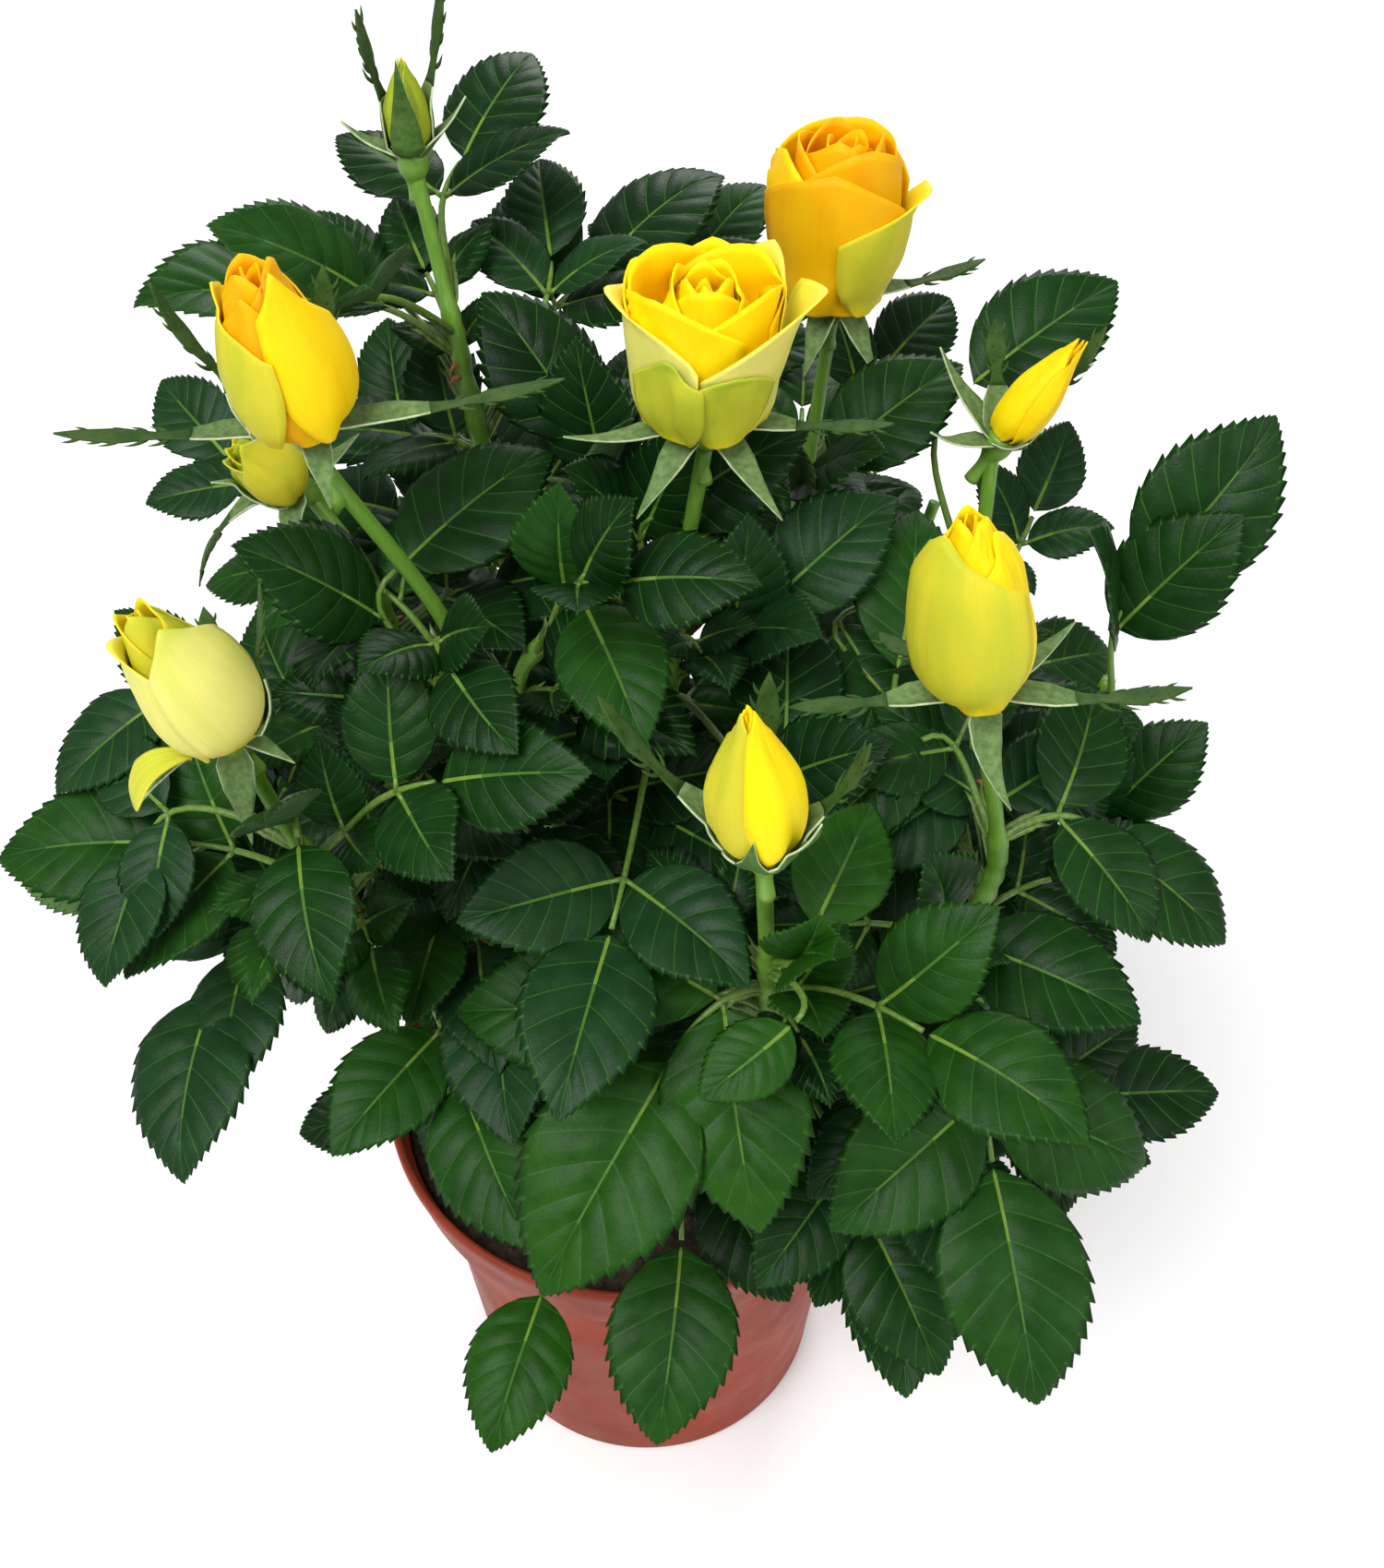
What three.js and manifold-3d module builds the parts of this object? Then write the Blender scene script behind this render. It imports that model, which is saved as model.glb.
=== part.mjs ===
// A patio rose in a nursery pot, as an assembly of separate named solids.
// Millimetres, +Z up, origin at the centre of the pot's flat underside; -Y is the front.
import * as THREE from 'three';
import { mergeVertices } from 'three/addons/utils/BufferGeometryUtils.js';
import Module from 'manifold-3d';

const wasm = await Module();
wasm.setup();

// ---- driving dimensions -------------------------------------------------------------------------
const GAP = 0.3; // clearance between neighbouring solids

const POT_HEIGHT = 105;
const RIM_RADIUS = 60;
const COLLAR_HEIGHT = 17; // the wide band under the rim
const COLLAR_FOOT_RADIUS = 57;
const BODY_RADIUS = 51.5; // just under the collar
const BASE_RADIUS = 44;
const WALL = 1.6;
const RIM_WIDTH = 2;
const POT_CHAMFER = 1.5; // at the edge of the base
const POT_SIDES = 28;
const DRAIN_RADIUS = 3.5;
const DRAIN_CIRCLE = 30;
const DRAIN_COUNT = 5;

const SOIL_LEVEL = 98;
const SOIL_RELIEF = 2.2; // how far the surface of the soil rises and dips
const SOIL_LUMPS = [6.1, 7.3]; // how wide its lumps are, across and from front to back
const SOIL_SWELL = 9.7; // how wide its slower waves are
const STEM_HEIGHT = 26; // from the soil to the knuckle that the canes spring from
const STEM_RADIUS = 3.7;
const STEM_FLARE = 6.6; // radius of the root flare at the soil
const STEM_FLARE_POWER = 8; // how quickly the flare fades up the stem
const KNUCKLE = { share: 0.86, spread: 0.12, swell: 0.9 }; // where the stem thickens at its top
const STEM_CROWN = { share: 0.95, inset: 1.6 }; // its rounded end
const CANE_ELBOW = 9; // a cane goes this far out and up before it follows its route
const CANE_RADIUS = [2.3, 1.6]; // at a cane's foot and under its bloom
const PETIOLE_RADIUS = 0.75;
const STALK_REACH = 0.42; // how far a leaf stalk's bow reaches from either end, of the distance
const STALK_SPRING = 0.7; // how far out and up it leaves its joint, of that reach
const STALK_ROOM = 0.4; // how much thicker than life a stalk tries a place
const STALK_DROP = 10; // how far below its hub a leaf's stalk comes from
const FIRST_LEAFLET = 0.2; // the share of the stalk that stays bare
const JOINT_MARGIN = 4; // no leaf springs nearer to the ends of a shoot's foliage

const LEAFLET_WIDTH = 0.66; // of a leaflet's length
const LEAFLET_THICKNESS = 0.026; // of its length, at the midrib
const LEAFLET_SHARES = { near: 0.27, middle: 0.46, far: 0.66 }; // where its outline and crest have points
const LEAFLET_SPREAD = { near: 0.94, far: 0.86 }; // how wide it is there, of its full width
const LEAFLET_ROOT = 1.1; // half the stretch of stalk that a leaflet grows out of
const LEAFLET_FOOT = 1.5; // how far out of the stalk a leaflet starts, in radii of the stalk
const LEAFLET_ARCH = 0.07; // how high the midrib bows above its chord, of the length
const LEAFLET_FOLD = 0.16; // slope at which the two halves rise from the midrib
const OUTWARD_TILT = 0.25; // slope at which the leaves face out of the crown
const FRONT_TILT = 0.4; // and to the front, where the light comes from
const SEPAL_WIDTH = 5;
const SEPAL_THICKNESS = 0.9;
const HIP_HEIGHT = 5;
const HIP_RADIUS = { share: 0.24, least: 2.6 }; // of the bloom's radius
const HIP_RINGS = [[-1.5, 1.15], [1, 0.9]]; // rise from the bloom's foot, share of the hip's radius
const SEPAL_ROOT = -1.3; // rise from the bloom's foot
const SEPAL_SPRING = 0.6; // how far from the hip's axis, of its radius

// A leaf carries its leaflets on a stalk: how far behind the hub, which side, turn, size.
const LEAFLETS = [
  [0, 0, 0, 1],
  [0.28, 1, 62, 0.86],
  [0.28, -1, 62, 0.86],
  [0.86, 1, 74, 0.64],
  [0.86, -1, 74, 0.64],
];

// The short woody stems: foot, lean of the top.
const STEMS = {
  left: { foot: [-17, -4], lean: [-3, -3] },
  front: { foot: [13, -13], lean: [2, -4] },
  back: { foot: [5, 17], lean: [1, 4] },
};

// A shoot springs from a stem at an azimuth and a height (as a share of the stem), passes the points of its
// route and, where it flowers, ends at its bloom. Its foliage lies between two shares of that route. Each
// leaf is its hub x, y, z, then azimuth, rise and length of the end leaflet, and the number of leaflets.
// A bloom has its foot, its height and radius, the way it leans, a form, and its sepals: azimuth, rise where
// the sepal starts and where it ends, length.
const SHOOTS = [
  {
    stem: 'left', spring: [-95, 0.8],
    route: [[-26, -13, 150], [-31, -21, 200], [-29, -26, 240], [-28, -28, 262]],
    foliage: [0.38, 0.8],
    leaves: [
      [-26, -45, 269, -59, -8, 22, 3], [-34, -38, 240, -45, -10, 25, 3],
      [-37, -20, 268, 36, 18, 34, 3], [-33, -46, 210, -96, -5, 22, 5],
    ],
    bloom: {
      foot: [-42, -35, 298], height: 34, radius: 10, lean: [-6, 0], form: 'opening', turn: 20,
      sepals: [[180, -5, 5, 36], [12, 5, 12, 36], [175, 40, 75, 36], [80, 60, 85, 30], [-70, -30, -70, 11]],
    },
  },
  {
    stem: 'front', spring: [130, 0.8],
    route: [[3, -14, 165], [6, -11, 210], [10, -16, 260]],
    foliage: [0.3, 0.82],
    leaves: [
      [0, -44, 284, -20, 14, 24, 3], [-1, -22, 276, -177, -6, 29, 3], [3, -10, 272, -17, 17, 29, 3],
      [24, -21, 261, 26, 29, 29, 3], [27, -45, 253, 87, 29, 29, 3], [-1, -66, 235, -103, -14, 33, 3],
    ],
    bloom: {
      foot: [14, -20, 292], height: 31, radius: 15, lean: [0, 0], form: 'open', turn: -100,
      sepals: [
        [188, -10, 15, 20], [-5, 0, 10, 27], [-128, -25, -35, 17], [-50, -25, -30, 18], [90, 0, -20, 22],
      ],
    },
  },
  {
    stem: 'back', spring: [5, 0.8],
    route: [[20, 23, 165], [30, 29, 220], [34, 30, 255]],
    foliage: [0.32, 0.84],
    leaves: [
      [11, 60, 280, 47, 22, 25, 3], [35, 5, 272, 26, 25, 30, 5], [48, 40, 270, 48, 18, 23, 3],
    ],
    bloom: {
      foot: [37, 30, 287], height: 34, radius: 14, lean: [1, 0], form: 'open', turn: -26,
      sepals: [
        [-50, -40, -50, 14], [20, 0, 15, 28], [170, -10, -30, 18], [100, -10, -30, 20], [-120, -40, -60, 13],
      ],
    },
  },
  {
    stem: 'front', spring: [-30, 0.8],
    route: [[34, -27, 155], [47, -40, 185], [57, -50, 209], [62, -54, 230], [60, -57, 248]],
    foliage: [0.3, 0.84],
    leaves: [
      [64, -80, 186, -83, -36, 41, 5], [56, -65, 227, -28, -5, 31, 3], [78, -54, 241, -27, -35, 29, 3],
      [64, -37, 244, 19, 1, 26, 3], [58, -45, 240, -152, -15, 25, 3], [52, -72, 178, -60, -40, 27, 3],
      [46, -30, 258, 76, 32, 30, 3], [49, -45, 253, -144, -5, 24, 3],
    ],
    bloom: {
      foot: [54, -60, 272], height: 37, radius: 10, lean: [-5, 0], form: 'opening', turn: 120,
      sepals: [[0, -10, 20, 30], [183, -8, 0, 26], [-70, -80, -5, 18], [40, 0, 30, 20], [120, -20, -10, 24]],
    },
  },
  {
    stem: 'front', spring: [-80, 0.65],
    route: [[28, -42, 160], [26, -58, 195], [24, -72, 230]],
    foliage: [0.26, 0.8],
    leaves: [
      [9, -77, 212, -126, -34, 44, 3], [30, -80, 246, 66, 17, 24, 3], [28, -84, 243, -144, -24, 19, 1],
      [15, -58, 152, -52, -23, 30, 3],
    ],
    bloom: {
      foot: [22, -85, 266], height: 30, radius: 7.3, lean: [-3, 0], form: 'bud', turn: 30,
      sepals: [[160, 35, 60, 34], [8, 45, 78, 26], [90, 70, 88, 31], [-110, 60, 88, 14], [-50, 45, 80, 20]],
    },
  },
  {
    stem: 'left', spring: [-130, 0.5],
    route: [[-36, -26, 160], [-45, -44, 205], [-52, -55, 240]],
    foliage: [0.28, 0.86],
    leaves: [
      [-48, -67, 253, -76, -25, 26, 3], [-74, -51, 198, -97, -22, 35, 5], [-78, -52, 240, -104, -35, 24, 3],
      [-22, -52, 212, -86, -20, 32, 5],
    ],
    bloom: {
      foot: [-56, -60, 266], height: 31, radius: 10.8, lean: [-10, -4], form: 'opening', turn: 200,
      sepals: [
        [20, 70, 86, 30], [190, -20, -60, 20], [-80, -70, -85, 18], [-20, 0, -30, 9], [110, 20, 40, 22],
      ],
    },
  },
  {
    stem: 'back', spring: [-40, 0.7],
    route: [[42, 6, 175], [56, -1, 220], [62, -3, 255]],
    foliage: [0.34, 0.86],
    leaves: [
      [60, 14, 282, 26, 24, 32, 3], [75, 15, 254, 64, 35, 20, 3], [38, -24, 267, -45, -18, 26, 3],
      [70, -48, 157, -24, 1, 33, 3],
    ],
    bloom: {
      foot: [63, 0, 278], height: 25, radius: 6.2, lean: [14, 0], form: 'bud', turn: 80,
      sepals: [[150, 55, 68, 20], [20, 40, 60, 27], [-80, 30, 50, 18], [90, 60, 70, 22], [-150, 20, 50, 15]],
    },
  },
  {
    stem: 'back', spring: [175, 0.75],
    route: [[-12, 22, 170], [-21, 15, 230], [-27, 13, 285], [-30, 17, 302]],
    foliage: [0.36, 0.92],
    leaves: [
      [-28, 39, 311, 60, 20, 28, 3], [-45, 33, 292, 147, 13, 22, 3], [-6, 39, 290, 38, 18, 33, 3],
      [-13, 34, 291, 95, 26, 23, 3], [-5, 3, 278, 142, 42, 31, 3],
    ],
    bloom: {
      foot: [-33, 20, 320], height: 17, radius: 5, lean: [0, 0], form: 'bud', turn: 10,
      sepals: [[165, 72, 84, 25], [30, 74, 80, 29], [-90, 70, 86, 20], [185, 30, 50, 12], [0, 50, 60, 14]],
    },
  },
  {
    stem: 'left', spring: [155, 0.8],
    route: [[-33, -1, 175], [-40, -5, 225], [-44, -8, 257]],
    foliage: [0.36, 0.88],
    leaves: [[-71, 14, 267, 133, 19, 22, 3], [-58, 2, 260, 167, -17, 21, 3]],
    bloom: {
      foot: [-53, -5, 273], height: 17, radius: 6.5, lean: [-14, -6], form: 'bud', turn: 60,
      sepals: [
        [188, -10, -80, 28], [120, 10, 0, 16], [-100, -20, -60, 12], [40, 40, 30, 12], [-160, 30, 10, 14],
      ],
    },
  },
  {
    stem: 'left', spring: [-35, 0.6],
    route: [[-9, -18, 160], [-14, -21, 210], [-18, -25, 245], [-12, -25, 259]],
    foliage: [0.36, 1],
    leaves: [[-5, -36, 274, -65, -20, 27, 3], [-5, -38, 249, -150, 0, 25, 3]],
  },
  {
    stem: 'back', spring: [-85, 0.45],
    route: [[34, 3, 140], [60, -6, 180], [80, -13, 215], [87, -14, 240]],
    foliage: [0.34, 1],
    leaves: [[88, -15, 261, 25, 46, 35, 3], [89, -21, 212, 15, 52, 26, 3], [85, -56, 172, 5, -5, 28, 3]],
  },
  {
    stem: 'left', spring: [-175, 0.35],
    route: [[-38, -10, 140], [-60, -20, 180], [-72, -27, 220]],
    foliage: [0.36, 1],
    leaves: [
      [-77, -28, 248, -145, -25, 25, 3], [-83, -42, 228, 178, -7, 24, 1], [-49, -34, 139, -171, -12, 23, 3],
    ],
  },
  {
    stem: 'front', spring: [-135, 0.4],
    route: [[6, -36, 128], [4, -54, 148], [8, -60, 172]],
    foliage: [0.3, 1],
    leaves: [
      [10, -74, 151, -95, -33, 37, 1], [-18, -70, 126, -107, -23, 32, 1], [50, -63, 139, -83, -11, 34, 3],
      [-31, -27, 142, -100, -35, 23, 3], [46, -46, 136, -145, -12, 26, 3],
    ],
  },
  {
    stem: 'back', spring: [130, 0.6],
    route: [[-14, 40, 150], [-28, 52, 195], [-38, 58, 240]],
    foliage: [0.3, 1],
    leaves: [],
  },
  {
    stem: 'back', spring: [85, 0.8],
    route: [[8, 44, 155], [8, 60, 200], [6, 64, 248]],
    foliage: [0.3, 1],
    leaves: [],
  },
  {
    stem: 'back', spring: [45, 0.45],
    route: [[30, 40, 145], [52, 52, 185], [64, 58, 228]],
    foliage: [0.3, 1],
    leaves: [],
  },
  {
    stem: 'left', spring: [110, 0.45],
    route: [[-36, 18, 145], [-58, 28, 185], [-68, 34, 225]],
    foliage: [0.3, 1],
    leaves: [],
  },
];

// Leaves that fill a shoot by rule, at one joint after another up its foliage.
const JOINT_SPACING = 17;
const JOINT_TURN = 137.5;
const FILL_LENGTH = [26, 36]; // of the end leaflet
const FILL_STALK = [20, 34]; // from the joint to the hub
const FILL_RISE = [-32, 30]; // at the foot of the foliage and at its top
const FILL_JITTER = 14; // how far the rise strays from that
const STALK_BOW = 12; // how much steeper the stalk rises and flatter the leaflet lies
const FIVE_LEAFLETS = 0.45; // the share of leaves that have five leaflets, where the others have three
const FILL_SWINGS = [0, 30, -30, 60, -60]; // turns that a leaf tries where its place is taken
const OWN_SPACE = 0.8; // how near another shoot may be, as a share of the distance to the leaf's own
const CROWN_RADIUS = 128; // nothing grown by rule reaches further out
const CROWN_FLOOR = 92; // or lower
// Balls of the crown that stay open, as x, y, z and radius: no leaf grown by rule reaches into them.
const OPENINGS = [
  [92, -60, 210, 22], [104, -1, 241, 22], [-66, -36, 160, 26], [-70, -84, 235, 18], [-66, 8, 248, 22],
  [-20, 0, 312, 20], [-22, 58, 244, 22], [16, -80, 142, 26], [-26, -66, 126, 20],
  [89, 52, 241, 18], [-20, 26, 280, 18], [-4, 28, 309, 14], [86, 0, 228, 16], [-83, 33, 218, 18],
];
const SEED = 3;

// ---- helpers ------------------------------------------------------------------------------------
const X = new THREE.Vector3(1, 0, 0);
const UP = new THREE.Vector3(0, 0, 1);
const FRONT = new THREE.Vector3(0, -1, 0);
const radians = THREE.MathUtils.degToRad;
const lerp = THREE.MathUtils.lerp;
const point = (x, y, z) => new THREE.Vector3(x, y, z);
const along = (from, direction, distance) => from.clone().addScaledVector(direction, distance);

// The unit vector at an azimuth from +X and a rise above the horizontal, in degrees.
function heading(azimuth, rise) {
  const level = Math.cos(radians(rise));
  return point(
    level * Math.cos(radians(azimuth)), level * Math.sin(radians(azimuth)), Math.sin(radians(rise)));
}

// A seeded run of numbers from 0 to 1.
function seeded(seed) {
  let state = seed >>> 0;
  return () => {
    state = (state + 0x6d2b79f5) >>> 0;
    let mixed = Math.imul(state ^ (state >>> 15), state | 1);
    mixed ^= mixed + Math.imul(mixed ^ (mixed >>> 7), mixed | 61);
    return ((mixed ^ (mixed >>> 14)) >>> 0) / 4294967296;
  };
}

// Points and triangles as a manifold-3d solid whose faces point out.
function solidOf(points, faces) {
  const signed = faces.reduce(
    (sum, [a, b, c]) => sum + points[a].dot(points[b].clone().cross(points[c])), 0);
  const outward = signed < 0 ? faces.map(([a, b, c]) => [a, c, b]) : faces;
  return new wasm.Manifold(new wasm.Mesh({
    numProp: 3,
    vertProperties: new Float32Array(points.flatMap((p) => p.toArray())),
    triVerts: new Uint32Array(outward.flat()),
  }));
}

// A three.js geometry as a solid.
function solidFrom(geometry) {
  const bare = new THREE.BufferGeometry().setAttribute('position', geometry.getAttribute('position'));
  bare.setIndex(geometry.index);
  const merged = mergeVertices(bare, 1e-4);
  return new wasm.Manifold(new wasm.Mesh({
    numProp: 3,
    vertProperties: merged.attributes.position.array,
    triVerts: new Uint32Array(merged.index.array),
  }));
}

// The largest body of a solid: loose scraps are dropped and sealed hollows filled.
function oneBody(solid) {
  return solid.decompose().reduce((best, body) => (body.volume() > best.volume() ? body : best));
}

const joined = (solids) => oneBody(wasm.Manifold.union(solids));

// A closed body through rings of points; a ring of one point is a tip.
function loft(rings) {
  const points = rings.flat();
  const faces = [];
  let start = 0;
  for (let i = 0; i < rings.length - 1; i++) {
    const here = rings[i].length;
    const next = rings[i + 1].length;
    const count = Math.max(here, next);
    for (let j = 0; j < count; j++) {
      const k = (j + 1) % count;
      if (next > 1) faces.push([start + (here > 1 ? j : 0), start + here + k, start + here + j]);
      if (here > 1) faces.push([start + j, start + k, start + here + (next > 1 ? k : 0)]);
    }
    start += here;
  }
  for (const [ring, first] of [[rings[0], 0], [rings.at(-1), start]]) {
    for (let j = 1; j < ring.length - 1; j++) {
      faces.push(first ? [first, first + j, first + j + 1] : [0, j + 1, j]);
    }
  }
  return solidOf(points, faces);
}

// The points of a regular ring square to a direction.
function ring(centre, direction, reference, radius, sides) {
  const side = new THREE.Vector3().crossVectors(direction, reference).normalize();
  const other = new THREE.Vector3().crossVectors(direction, side);
  return Array.from({ length: sides }, (_, j) => {
    const turn = (2 * Math.PI * j) / sides;
    return along(along(centre, side, radius * Math.cos(turn)), other, radius * Math.sin(turn));
  });
}

// A tapering limb between two shares of a curve.
function limb(curve, [from, to], radius, { sides, steps, reference = X, extra = 0 }) {
  return loft(Array.from({ length: steps + 1 }, (_, i) => {
    const share = lerp(from, to, i / steps);
    return ring(curve.getPointAt(share), curve.getTangentAt(share), reference, radius(share) + extra, sides);
  }));
}

// ---- what has grown so far, so that nothing new touches it -----------------------------------------
const grown = [];

function boxOf(solid) {
  const { min, max } = solid.boundingBox();
  return new THREE.Box3(point(...min), point(...max));
}

function remember(solid, owner) {
  grown.push({ solid, box: boxOf(solid), owner });
}

function isClear(test, ...ignored) {
  const box = boxOf(test);
  return !grown.some(({ solid, box: other, owner }) =>
    !ignored.includes(owner) && box.intersectsBox(other) && !test.intersect(solid).isEmpty());
}

// ---- pot and soil ---------------------------------------------------------------------------------
function pot() {
  const collarFoot = POT_HEIGHT - COLLAR_HEIGHT;
  const bead = 3.5; // height of the rim's bead
  const lip = 0.4; // how far it stands out of the collar
  const rounding = 0.8;
  const ledge = 1; // height of the step under the collar
  const profile = [
    [0, 0], [BASE_RADIUS - POT_CHAMFER, 0], [BASE_RADIUS, POT_CHAMFER], [BODY_RADIUS, collarFoot - ledge],
    [COLLAR_FOOT_RADIUS, collarFoot], [RIM_RADIUS - lip, POT_HEIGHT - bead],
    [RIM_RADIUS, POT_HEIGHT - rounding], [RIM_RADIUS - rounding, POT_HEIGHT],
    [RIM_RADIUS - RIM_WIDTH, POT_HEIGHT - rounding],
    [COLLAR_FOOT_RADIUS - WALL, collarFoot + WALL], [BODY_RADIUS - WALL, collarFoot + WALL],
    [BASE_RADIUS - WALL, WALL], [0, WALL],
  ].map(([radius, height]) => new THREE.Vector2(radius, height));
  const shell = solidFrom(new THREE.LatheGeometry(profile, POT_SIDES).rotateX(Math.PI / 2));
  const drains = Array.from({ length: DRAIN_COUNT }, (_, i) => {
    const centre = heading((360 * i) / DRAIN_COUNT, 0).multiplyScalar(DRAIN_CIRCLE);
    const drill = new THREE.CylinderGeometry(DRAIN_RADIUS, DRAIN_RADIUS, 3 * WALL, 8).rotateX(Math.PI / 2);
    return solidFrom(drill.translate(centre.x, centre.y, 0));
  });
  return drains.reduce((body, drain) => body.subtract(drain), shell);
}

// The soil's surface: level near the stems, uneven elsewhere.
function soilHeight(x, y) {
  const nearest = Math.min(...Object.values(STEMS).map(({ foot }) => Math.hypot(x - foot[0], y - foot[1])));
  const loose = THREE.MathUtils.smoothstep(nearest, STEM_FLARE, 2.5 * STEM_FLARE);
  const lumps = Math.sin(x / SOIL_LUMPS[0] + 1) * Math.cos(y / SOIL_LUMPS[1]);
  const swell = Math.sin((x + y) / SOIL_SWELL);
  return SOIL_LEVEL + SOIL_RELIEF * loose * (0.5 * lumps + 0.5 * swell);
}

function soil() {
  const sides = 22;
  const steps = 4;
  const collarFoot = POT_HEIGHT - COLLAR_HEIGHT;
  const ringAt = (radius, height) => Array.from({ length: sides }, (_, j) => {
    const turn = (2 * Math.PI * j) / sides;
    const x = radius * Math.cos(turn);
    const y = radius * Math.sin(turn);
    return point(x, y, height ?? soilHeight(x, y));
  });
  const lowest = WALL + GAP;
  const ledge = collarFoot + WALL + GAP;
  const sag = 0.5; // the flat sides of the pot come this much nearer than its corners
  const inner = (radius) => radius - WALL - GAP - sag;
  const edge = inner(RIM_RADIUS - RIM_WIDTH);
  const top = Array.from({ length: steps }, (_, i) => ringAt(edge * (1 - i / steps)));
  return loft([
    [point(0, 0, lowest)],
    ringAt(inner(BASE_RADIUS), lowest),
    ringAt(inner(BODY_RADIUS), ledge),
    ringAt(inner(COLLAR_FOOT_RADIUS), ledge),
    ...top,
    [point(0, 0, soilHeight(0, 0))],
  ]);
}

// ---- stems and canes ------------------------------------------------------------------------------
function stemCurve({ foot, lean }) {
  const leaning = (share, height) => point(foot[0] + share * lean[0], foot[1] + share * lean[1], height);
  return new THREE.CatmullRomCurve3([
    leaning(0, SOIL_LEVEL + GAP),
    leaning(0.2, SOIL_LEVEL + GAP + 0.4 * STEM_HEIGHT),
    leaning(1, SOIL_LEVEL + STEM_HEIGHT),
  ], false, 'catmullrom');
}

// Flared foot, waist, knuckle and rounded top.
function stemRadius(share) {
  const flare = (STEM_FLARE - STEM_RADIUS) * (1 - share) ** STEM_FLARE_POWER;
  const knuckle = KNUCKLE.swell * Math.exp(-(((share - KNUCKLE.share) / KNUCKLE.spread) ** 2));
  const crown = share > STEM_CROWN.share ? STEM_CROWN.inset : 0;
  return STEM_RADIUS + flare + knuckle - crown;
}

function mainStem(curve, extra = 0) {
  const shares = [0, 0.08, 0.2, 0.45, 0.72, KNUCKLE.share, STEM_CROWN.share, 1];
  return loft(shares.map((share, i) => {
    const direction = i ? curve.getTangentAt(share) : UP;
    return ring(curve.getPointAt(share), direction, X, stemRadius(share) + extra, 8);
  }));
}

function caneCurve({ stem, spring, route, bloom }) {
  const [azimuth, height] = spring;
  const start = stemCurves[stem].getPointAt(height);
  const out = along(along(start, heading(azimuth, 0), CANE_ELBOW), UP, CANE_ELBOW);
  const points = [start, out, ...route.map((p) => point(...p))];
  if (bloom) points.push(point(...bloom.foot));
  return new THREE.CatmullRomCurve3(points, false, 'catmullrom');
}

const caneRadius = (share) => lerp(CANE_RADIUS[0], CANE_RADIUS[1], share);

// ---- leaves ---------------------------------------------------------------------------------------
// The points of a leaflet, a thin lens in an ovate outline that arches along its midrib and folds up across
// it: two on its right, its tip, two on its left, then over and under the middle.
function leafletPoints({ base, direction, up, length }, { extra = 0, grow = 1 } = {}) {
  const normal = up.clone().addScaledVector(direction, -up.dot(direction)).normalize();
  const side = new THREE.Vector3().crossVectors(direction, normal);
  const half = (LEAFLET_WIDTH * length * grow) / 2;
  const at = (share, across, lift) => {
    const width = across * half;
    const height = LEAFLET_ARCH * length * 4 * share * (1 - share) + LEAFLET_FOLD * Math.abs(width) + lift;
    return along(along(along(base, direction, share * length), side, width), normal, height);
  };
  const thick = (LEAFLET_THICKNESS * length) / 2 + extra;
  const { near, middle, far } = LEAFLET_SHARES;
  const { near: broad, far: slim } = LEAFLET_SPREAD;
  return [
    at(near, broad, 0), at(far, slim, 0), at(grow, 0, 0), at(far, -slim, 0), at(near, -broad, 0),
    at(middle, 0, thick), at(middle, 0, -thick),
  ];
}

// A leaflet by itself.
function leafletSolid(blade, margins) {
  const points = [along(blade.base, blade.direction, LEAFLET_FOOT * PETIOLE_RADIUS)];
  points.push(...leafletPoints(blade, margins));
  const outline = [0, 1, 2, 3, 4, 5];
  const over = outline.map((i) => [i, (i + 1) % 6, 6]);
  const under = outline.map((i) => [(i + 1) % 6, i, 7]);
  return solidOf(points, [...over, ...under]);
}

// The faces of a leaflet that grows out of an opening in its stalk, a loop of four points. The first edge of
// the loop lies along the face called first.
function leafletFaces([a0, b0, b1, a1], [nearA, farA, tip, farB, nearB], first, second) {
  const faces = [
    [b0, b1, nearB], [b1, a1, second], [a1, a0, nearA],
    [b0, nearB, first], [nearB, farB, first], [farB, tip, first],
    [tip, farA, first], [farA, nearA, first], [nearA, a0, first],
    [b1, second, nearB], [nearB, second, farB], [farB, second, tip],
    [tip, second, farA], [farA, second, nearA], [nearA, second, a1],
  ];
  return a0 === b0 ? faces : [[a0, b0, first], ...faces];
}

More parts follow.
